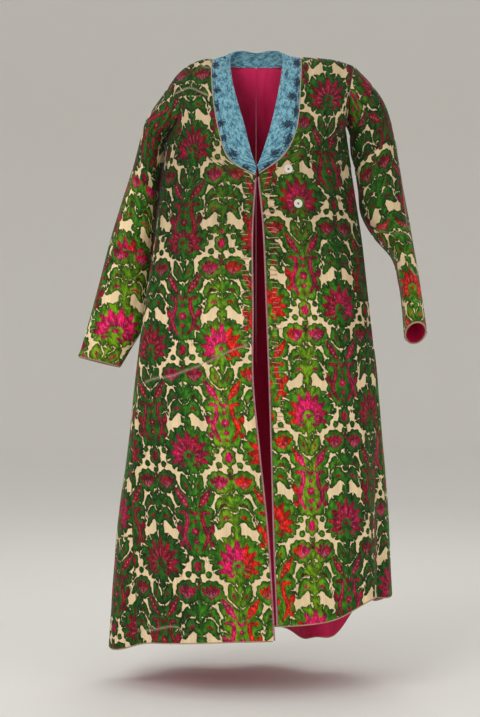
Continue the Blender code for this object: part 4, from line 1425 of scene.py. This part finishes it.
# navy patches: place along the collar and across it (0 sewn edge, 1 neck edge), then the spreads
navyPatches = {
    "left": [
        (0.06, 0.2, 0.03, 0.4), (0.17, 0.1, 0.02, 0.3), (0.30, 0.2, 0.02, 0.35), (0.42, 0.1, 0.03, 0.25),
        (0.55, 0.15, 0.02, 0.3), (0.66, 0.1, 0.02, 0.3), (0.78, 0.25, 0.03, 0.4), (0.92, 0.2, 0.03, 0.5),
    ],
    "right": [
        (0.05, 0.2, 0.04, 0.5), (0.15, 0.7, 0.02, 0.25), (0.24, 0.15, 0.04, 0.4), (0.36, 0.3, 0.03, 0.5),
        (0.47, 0.1, 0.04, 0.35), (0.58, 0.35, 0.03, 0.45), (0.69, 0.15, 0.04, 0.35), (0.80, 0.4, 0.03, 0.5),
        (0.92, 0.2, 0.04, 0.5),
    ],
    "back": [
        (0.07, 0.5, 0.02, 0.5), (0.18, 0.3, 0.02, 0.6), (0.29, 0.6, 0.02, 0.5), (0.40, 0.3, 0.02, 0.5),
        (0.52, 0.6, 0.02, 0.6), (0.64, 0.3, 0.02, 0.5), (0.76, 0.6, 0.02, 0.5), (0.88, 0.35, 0.02, 0.6),
    ],
}


def through(points, place):
    rows = np.array(points, float) * mm
    rows = np.vstack([2 * rows[0] - rows[1], rows, 2 * rows[-1] - rows[-2]])
    row = np.clip(np.floor(place), 0, len(points) - 2).astype(int)
    return spline(rows[row], rows[row + 1], rows[row + 2], rows[row + 3], (place - row)[:, None])


def collarPiece(name, sewn, free, sewnNormal, flip, pleats):
    look = collarLook
    columns = look["across"]
    across = np.linspace(0, 1, columns + 1)[None, :, None]
    flat = sewn[:, None] + (free - sewn)[:, None] * across
    along = np.gradient(flat, axis=0)
    normal = unit(np.cross((free - sewn)[:, None] + 0 * flat, along)) * (-1 if flip else 1)
    normal = unit(normal + (1 - across) ** 2 * 2 * sewnNormal[:, None])
    outer = flat + normal * look["bulge"] * 4 * across * (1 - across)
    inner = (outer - normal * look["wall"])[::4, ::4].copy()
    length = runLengths(sewn)
    share = (length / length[-1])[:, None]
    wide = across[..., 0]
    edge = np.minimum(wide, 1 - wide)
    held = smooth(edge / 0.25)
    far = length[:, None]
    wave = np.sin(far * 2 * math.pi / pleats["pitch"] + 2.2 * np.sin(far * 31) + wide * pleats["lean"])
    relief = pleats["height"] * wave * (0.45 + 0.55 * np.sin(far * 23 + 1) ** 2) * (0.35 + 0.65 * held)
    relief = relief + look["tuft"] * np.sin(far * 1900 + 3 * np.sin(wide * 17 + far * 410)) * held
    relief = relief - 0.0010 * np.exp(-(((wide - pleats["stitch"]) / 0.06) ** 2))
    shown = outer + normal * relief[..., None]
    pullIn(shown, inner, pleats["gaps"], look["gap"])
    navy = np.zeros(shown.shape[:2])
    word = name.split("_")[1]
    for at, over, long, high in navyPatches[word]:
        spread = ((share - at) / (1.6 * long)) ** 2 + ((wide - over) / (0.6 * high)) ** 2
        navy = np.maximum(navy, np.exp(-spread))
    runAcross, runDown = runs(shown)
    mesh = clothWall(
        name, shown, inner, coarse=4, values={"navy": navy}, uv=np.stack([runAcross, -runDown], axis=-1)
    )
    piece = addPiece("shown_" + name, mesh, [plush, plush], [name])
    flat = (float(runAcross[:, -1].max()), float(max(runDown[-1].max(), length[-1])))
    return piece, flat, sheetArea(outer)


def stitchRun(points, normals, pitch, long, lift):
    length = runLengths(points)
    lines = []
    ups = []
    for start in np.arange(pitch / 2, length[-1] - long, pitch):
        places = start + np.linspace(0, long, 5)
        line = readAlong(places, length, points)
        up = unit(readAlong(places, length, normals))
        line = line + up * (lift * np.array([-0.5, 0.7, 1, 0.7, -0.5]))[:, None]
        lines.append(line)
        ups.append(up)
    return lines, ups


collarRows = 4 * 24
collarThread = {"pitch": 0.0056, "long": 0.0038, "radius": 0.0005, "lift": 0.0005}
for word, side in (("left", -1), ("right", 1)):
    levels = np.linspace(0, robe["underarm"], 300)
    run = body(side, 0 * levels, levels)
    level = evenly(levels, run, collarRows)
    sewn = body(side, 0 * level, level)
    normal = bodyNormal(side, 0 * level, level)
    free = through(collarNeck[side], level)
    pleats = {"pitch": 0.034, "height": 0.0006, "lean": 0.5, "stitch": 0.16, "gaps": ("first", "top")}
    piece, flat, area = collarPiece("collar_" + word, sewn, free, normal, side < 0, pleats)
    # a round cord covers the seam where the collar joins the front
    cordAt = sewn + normal * 0.0012
    twist = 0.0009 * (1 + 0.12 * np.sin(np.linspace(0, 210, len(cordAt))))
    cordMesh = tubes("collar_cord_" + word, [cordAt.tolist()], twist, 10)
    node = "collar_cord_" + word
    cordPiece = addPiece("shown_" + node, cordMesh, [cordLook], [node])
    # running stitches in dark thread, just inside the cord
    share = 0.16
    path = sewn + (free - sewn) * share
    out = unit(np.cross(free - sewn, np.gradient(sewn, axis=0))) * (-1 if side < 0 else 1)
    out = unit(out + (1 - share) ** 2 * 2 * normal)
    path = path + out * (collarLook["bulge"] * 4 * share * (1 - share) - 0.0002)
    thread = collarThread
    lines, ups = stitchRun(path, out, thread["pitch"], thread["long"], thread["lift"])
    stitches = tubes("collar_stitches_" + word, lines, thread["radius"], 6, lifts=ups)
    stitchPiece = addPiece("collar_stitches_" + word, stitches, [navyThread])
    cloths.append((piece, flat, area, "hung", [cordPiece, stitchPiece]))

half = np.linspace(0, robe["backNeck"], 4 * 12 + 1)
sewn = np.concatenate([body(-1, 2 + 0 * half, half), body(1, 2 + 0 * half, half)[::-1][1:]])
normal = np.concatenate([bodyNormal(-1, 2 + 0 * half, half), bodyNormal(1, 2 + 0 * half, half)[::-1][1:]])
lengths = np.linspace(0, 1, len(sewn))
spots = evenly(lengths, sewn, len(sewn) - 1)
sewn = readAlong(spots, lengths, sewn)
normal = unit(readAlong(spots, lengths, normal))
free = through(bandTop, np.linspace(0, len(bandTop) - 1, len(sewn)))
pleats = {"pitch": 0.0105, "height": 0.0017, "lean": 1.2, "stitch": 0.12, "gaps": ("first", "top", "foot")}
piece, flat, area = collarPiece("collar_back", sewn, free, normal, False, pleats)
cloths.append((piece, flat, area, "gathered"))
print("collar made")


bindingLook = {"front": 0.0032, "hem": 0.0024, "round": 0.0005}


def binding(name, edge, away, normal, width, material, wraps=False):
    share = np.linspace(0, 1, 7)[None, :, None]
    base = edge[:, None] + away[:, None] * (0.0002 + width * share)
    swell = bindingLook["round"] * np.sin(math.pi * share) ** 0.6
    length = runLengths(edge)
    ripple = 0.00022 * np.sin(length / 0.0021 + 2 * np.sin(length / 0.017))[:, None, None]
    outer = base + normal[:, None] * (0.0002 + swell + ripple * np.sin(math.pi * share))
    inner = base - normal[:, None] * (robe["wall"] + 0.0002)
    outer, inner = outer.swapaxes(0, 1), inner.swapaxes(0, 1)
    across, down = runs(outer)
    uv = np.stack([down, -across], axis=-1)
    mesh = clothWall(name, outer, inner, wraps=wraps, coarse=1, uv=uv)
    return addPiece("shown_" + name, mesh, [material, material], [name])


bindings = {}
frontBand = {"low": 4.06, "rows": 260}
for word, side in (("left", -1), ("right", 1)):
    levels = np.linspace(frontBand["low"], robe["hem"], 500)
    level = evenly(levels, body(side, 0 * levels, levels), frontBand["rows"])
    edge = body(side, 0 * level, level)
    beside = body(side, 0 * level + 0.02, level)
    normal = bodyNormal(side, 0 * level, level)
    away = unit(edge - beside)
    drape = foldRelief(np.broadcast_to(0.0 if side < 0 else 4.0, level.shape), edge[:, 2])
    edge = edge + normal * drape[:, None]
    bindings["front_" + word] = binding(
        "edging_front_" + word, edge, away, normal, bindingLook["front"], edging
    )
    around = np.linspace(0.002, 1.998, 420)
    foot = body(side, around, robe["hem"])
    normal = bodyNormal(side, around, robe["hem"])
    away = unit(foot - body(side, around, robe["hem"] - 0.02))
    drape = foldRelief(ringPlace(side, around), foot[:, 2])
    bindings["hem_" + word] = binding(
        "edging_hem_" + word, foot + normal * drape[:, None], away, normal, bindingLook["hem"], hemBand
    )
    end = float(len(sleeveForm[side]))
    turn = np.arange(150) / 150
    edge, near = sleeveFace(side, turn, np.array([end, end - 0.02]))
    normal = sleeveNormal(side, turn, np.array([end]))[0]
    bindings["cuff_" + word] = binding(
        "edging_cuff_" + word, edge, unit(edge - near), normal, bindingLook["hem"], hemBand, wraps=True
    )

# short pale stitches that pucker the cloth in a ladder beside each front edge
ladders = {
    "left": {"from": -0.250, "to": -0.578, "pitch": 0.0098, "near": 0.004, "far": 0.020},
    "right": {"from": -0.240, "to": -0.730, "pitch": 0.0104, "near": 0.004, "far": 0.024},
}
for word, side in (("left", -1), ("right", 1)):
    row = ladders[word]
    chance = np.random.default_rng(11 + side)
    lines, ups = [], []
    around, level = np.meshgrid(np.linspace(0, 0.3, 61), np.linspace(4, 8, 801))
    points = body(side, around, level)
    heights = points[:, 0, 2]
    for height in np.arange(row["from"], row["to"], -row["pitch"]):
        at = int(np.argmin(np.abs(heights - height - chance.uniform(-0.002, 0.002))))
        run = runLengths(points[at])
        start = row["near"] + chance.uniform(-0.002, 0.004)
        stop = row["far"] + chance.uniform(-0.006, 0.006)
        places = np.interp(np.linspace(start, stop, 9), run, around[at])
        levels = level[at, 0] + np.linspace(0, 0.012, 9) * chance.uniform(-1, 1.6)
        normal = bodyNormal(side, places, levels)
        lift = 0.0009 + foldRelief(ringPlace(side, places), heights[at] + 0 * places)
        lift = lift - 0.0009 * np.abs(np.linspace(-1, 1, 9)) ** 3
        lines.append((body(side, places, levels) + normal * lift[:, None]).tolist())
        ups.append(normal)
    mesh = tubes("front_stitches_" + word, lines, 0.0007, 8, 0.6, ups)
    bindings["stitches_" + word] = addPiece("front_stitches_" + word, mesh, [paleThread])
print("bindings made")


buttonLook = {
    "radius": 0.0085,
    "thick": 0.0026,
    "hole": 0.0009,
    "reach": 0.0018,
    "stand": 0.0006,
    "places": {"upper": (0.0604, -0.231), "lower": (0.0786, -0.298)},
    # shares of the radius and of half the thickness, from the middle of the face to that of the back
    "profile": [
        (0, 0.30), (0.30, 0.30), (0.55, 0.36), (0.66, 0.62), (0.76, 0.95), (0.84, 1),
        (0.93, 0.80), (1, 0.15), (1, -0.2), (0.93, -0.8), (0.7, -1), (0, -1),
    ],
}


def frontPoint(side, x, z):
    around, level = np.meshgrid(np.linspace(0, 1, 201), np.linspace(2, 7, 501))
    points = body(side, around, level)
    miss = (points[..., 0] - x) ** 2 + (points[..., 2] - z) ** 2
    best = np.unravel_index(np.argmin(miss), miss.shape)
    return points[best], bodyNormal(side, around[best], level[best])


def turnedDisc(name, profile, steps):
    mesh = bpy.data.meshes.new(name)
    angle = np.arange(steps) * 2 * math.pi / steps
    points = [(0, 0, profile[0][1])]
    for radius, height in profile[1:-1]:
        points += [(radius * math.cos(a), radius * math.sin(a), height) for a in angle]
    points.append((0, 0, profile[-1][1]))
    faces = []
    rings = len(profile) - 2
    for n in range(steps):
        m = (n + 1) % steps
        faces.append((0, 1 + n, 1 + m))
        for r in range(rings - 1):
            a, b = 1 + r * steps, 1 + (r + 1) * steps
            faces.append((a + n, b + n, b + m, a + m))
        last = 1 + (rings - 1) * steps
        faces.append((last + n, len(points) - 1, last + m))
    mesh.from_pydata(points, [], faces)
    mesh.update()
    return mesh


def makeButton(word):
    look = buttonLook
    point, normal = frontPoint(1, *look["places"][word])
    half = look["thick"] / 2
    radius = look["radius"]
    profile = [(r * radius, h * half) for r, h in look["profile"]]
    mesh = turnedDisc("button_" + word, profile, 64)
    button = bpy.data.objects.new("whole_button_" + word, mesh)
    bpy.context.scene.collection.objects.link(button)
    drills = []
    for number in range(4):
        turn = math.radians(45 + 90 * number)
        place = (look["reach"] * math.cos(turn), look["reach"] * math.sin(turn), 0)
        bpy.ops.mesh.primitive_cylinder_add(vertices=20, radius=look["hole"], depth=0.01, location=place)
        drill = bpy.context.active_object
        drills.append(drill)
        cut = button.modifiers.new("hole", "BOOLEAN")
        cut.operation = "DIFFERENCE"
        cut.object = drill
    bpy.context.view_layer.update()
    cutMesh = bpy.data.meshes.new_from_object(button.evaluated_get(bpy.context.evaluated_depsgraph_get()))
    cutMesh.name = "button_" + word
    for thing in drills + [button]:
        bpy.data.objects.remove(thing, do_unlink=True)
    rest = point + normal * (half + look["stand"])
    zAxis = normal
    xAxis = unit(np.cross((0, 0, 1), zAxis))
    yAxis = np.cross(zAxis, xAxis)
    frameOf = np.stack([xAxis, yAxis, zAxis], axis=-1)
    points = np.empty(len(cutMesh.vertices) * 3)
    cutMesh.vertices.foreach_get("co", points)
    points = points.reshape(-1, 3) @ frameOf.T + rest
    cutMesh.vertices.foreach_set("co", points.ravel())
    cutMesh.materials.clear()
    cutMesh.shade_smooth()
    cutMesh.set_sharp_from_angle(angle=math.radians(35))
    cutMesh.update()
    piece = addPiece("shown_button_" + word, cutMesh, [shell], ["button_" + word])
    lines = []
    for first, second in (((1, 1), (-1, -1)), ((1, -1), (-1, 1))):
        for shift in (-0.00028, 0.00028):
            ends = [np.array(e) * look["reach"] * 0.72 for e in (first, second)]
            sideways = np.array([-first[1], first[0]]) * shift
            run = []
            for t in np.linspace(0, 1, 9):
                flat = ends[0] + (ends[1] - ends[0]) * t + sideways
                height = half * 0.30 + 0.0005 * math.sin(math.pi * t) - (0.0012 if t in (0, 1) else 0)
                run.append(rest + frameOf @ np.array([flat[0], flat[1], height]))
            lines.append(np.array(run).tolist())
    threads = tubes("button_thread_" + word, lines, 0.00032, 8, lifts=[np.tile(normal, (9, 1))] * 4)
    addPiece("button_thread_" + word, threads, [navyThread])
    return piece


for word in buttonLook["places"]:
    makeButton(word)
print("buttons made")


named = {row[0].name: row for row in cloths}
extras = {
    "shown_front_left_lower": ["front_left", "stitches_left"],
    "shown_front_right": ["front_right", "stitches_right"],
    "shown_back_left": ["hem_left"],
    "shown_back_right": ["hem_right"],
    "shown_sleeve_left_forearm": ["cuff_left"],
    "shown_sleeve_right_forearm": ["cuff_right"],
}
for name, row in named.items():
    piece, flat, area, held = row[:4]
    along = list(row[4]) if len(row) > 4 else []
    along += [bindings[key] for key in extras.get(name, [])]
    area = min(area, flat[0] * flat[1])


studio = {"floor": "ECEAE6", "floorGap": 0.06, "world": 0.7, "key": 36, "fill": 12, "rim": 12}
low = cadBox[0][2] - studio["floorGap"]
floorMesh = bpy.data.meshes.new("studio_floor")
# a round floor that turns up into a wall well behind every view of the robe
sweep = [(7.0 + math.sin(a) * 2.5, 2.5 - math.cos(a) * 2.5) for a in np.linspace(0, math.pi / 2, 13)]
sweep.append((9.5, 9.0))
floorSides = 72
floorPoints = [(0, 0, low)]
for radius, height in sweep:
    for n in range(floorSides):
        angle = 2 * math.pi * n / floorSides
        floorPoints.append((radius * math.cos(angle), radius * math.sin(angle), low + height))
floorFaces = [(0, 1 + n, 1 + (n + 1) % floorSides) for n in range(floorSides)]
for r in range(len(sweep) - 1):
    first = 1 + r * floorSides
    for n in range(floorSides):
        m = (n + 1) % floorSides
        floorFaces.append((first + n, first + floorSides + n, first + floorSides + m, first + m))
floorMesh.from_pydata(floorPoints, [], floorFaces)
floorMesh.shade_smooth()
floor = bpy.data.objects.new("studio_floor", floorMesh)
bpy.context.scene.collection.objects.link(floor)
floorLook = {"Base Color": colour(studio["floor"]), "Roughness": 0.9}
floorMaterial, _, _ = newMaterial("floor", floorLook)
floorMesh.materials.append(floorMaterial)

world = bpy.data.worlds.new("soft_light")
world.use_nodes = True
world.node_tree.nodes["Background"].inputs["Color"].default_value = (1, 0.99, 0.97, 1)
world.node_tree.nodes["Background"].inputs["Strength"].default_value = studio["world"]
bpy.context.scene.world = world


def softLight(name, power, size, place, aim):
    lamp = bpy.data.lights.new(name, "AREA")
    lamp.energy = power
    lamp.shape = "RECTANGLE"
    lamp.size, lamp.size_y = size
    made = bpy.data.objects.new(name, lamp)
    made.location = place
    made.rotation_euler = (Vector(aim) - Vector(place)).to_track_quat("-Z", "Y").to_euler()
    bpy.context.scene.collection.objects.link(made)
    return made


lights = [
    softLight("key", studio["key"], (1.6, 1.6), (-1.5, -2.2, 0.9), (0, 0, -0.5)),
    softLight("fill", studio["fill"], (2.0, 2.0), (2.0, -1.8, 0.0), (0, 0, -0.6)),
    softLight("rim", studio["rim"], (1.6, 1.0), (0.4, 1.9, 1.3), (0, 0, -0.4)),
]

# the lens takes in a height of `view` metres at the distance `away`
shot = {"away": 3.2, "view": 1.434, "across": -0.033, "up": -0.597, "sensor": 24}
cameraData = bpy.data.cameras.new("camera")
cameraData.sensor_fit = "VERTICAL"
cameraData.sensor_height = shot["sensor"]
cameraData.lens = shot["sensor"] * shot["away"] / shot["view"]
camera = bpy.data.objects.new("camera", cameraData)
camera.location = (shot["across"], -shot["away"], shot["up"])
camera.rotation_euler = (math.radians(90), 0, 0)
bpy.context.scene.collection.objects.link(camera)
bpy.context.scene.camera = camera
bpy.context.scene.view_settings.view_transform = "Standard"
print("studio ready")
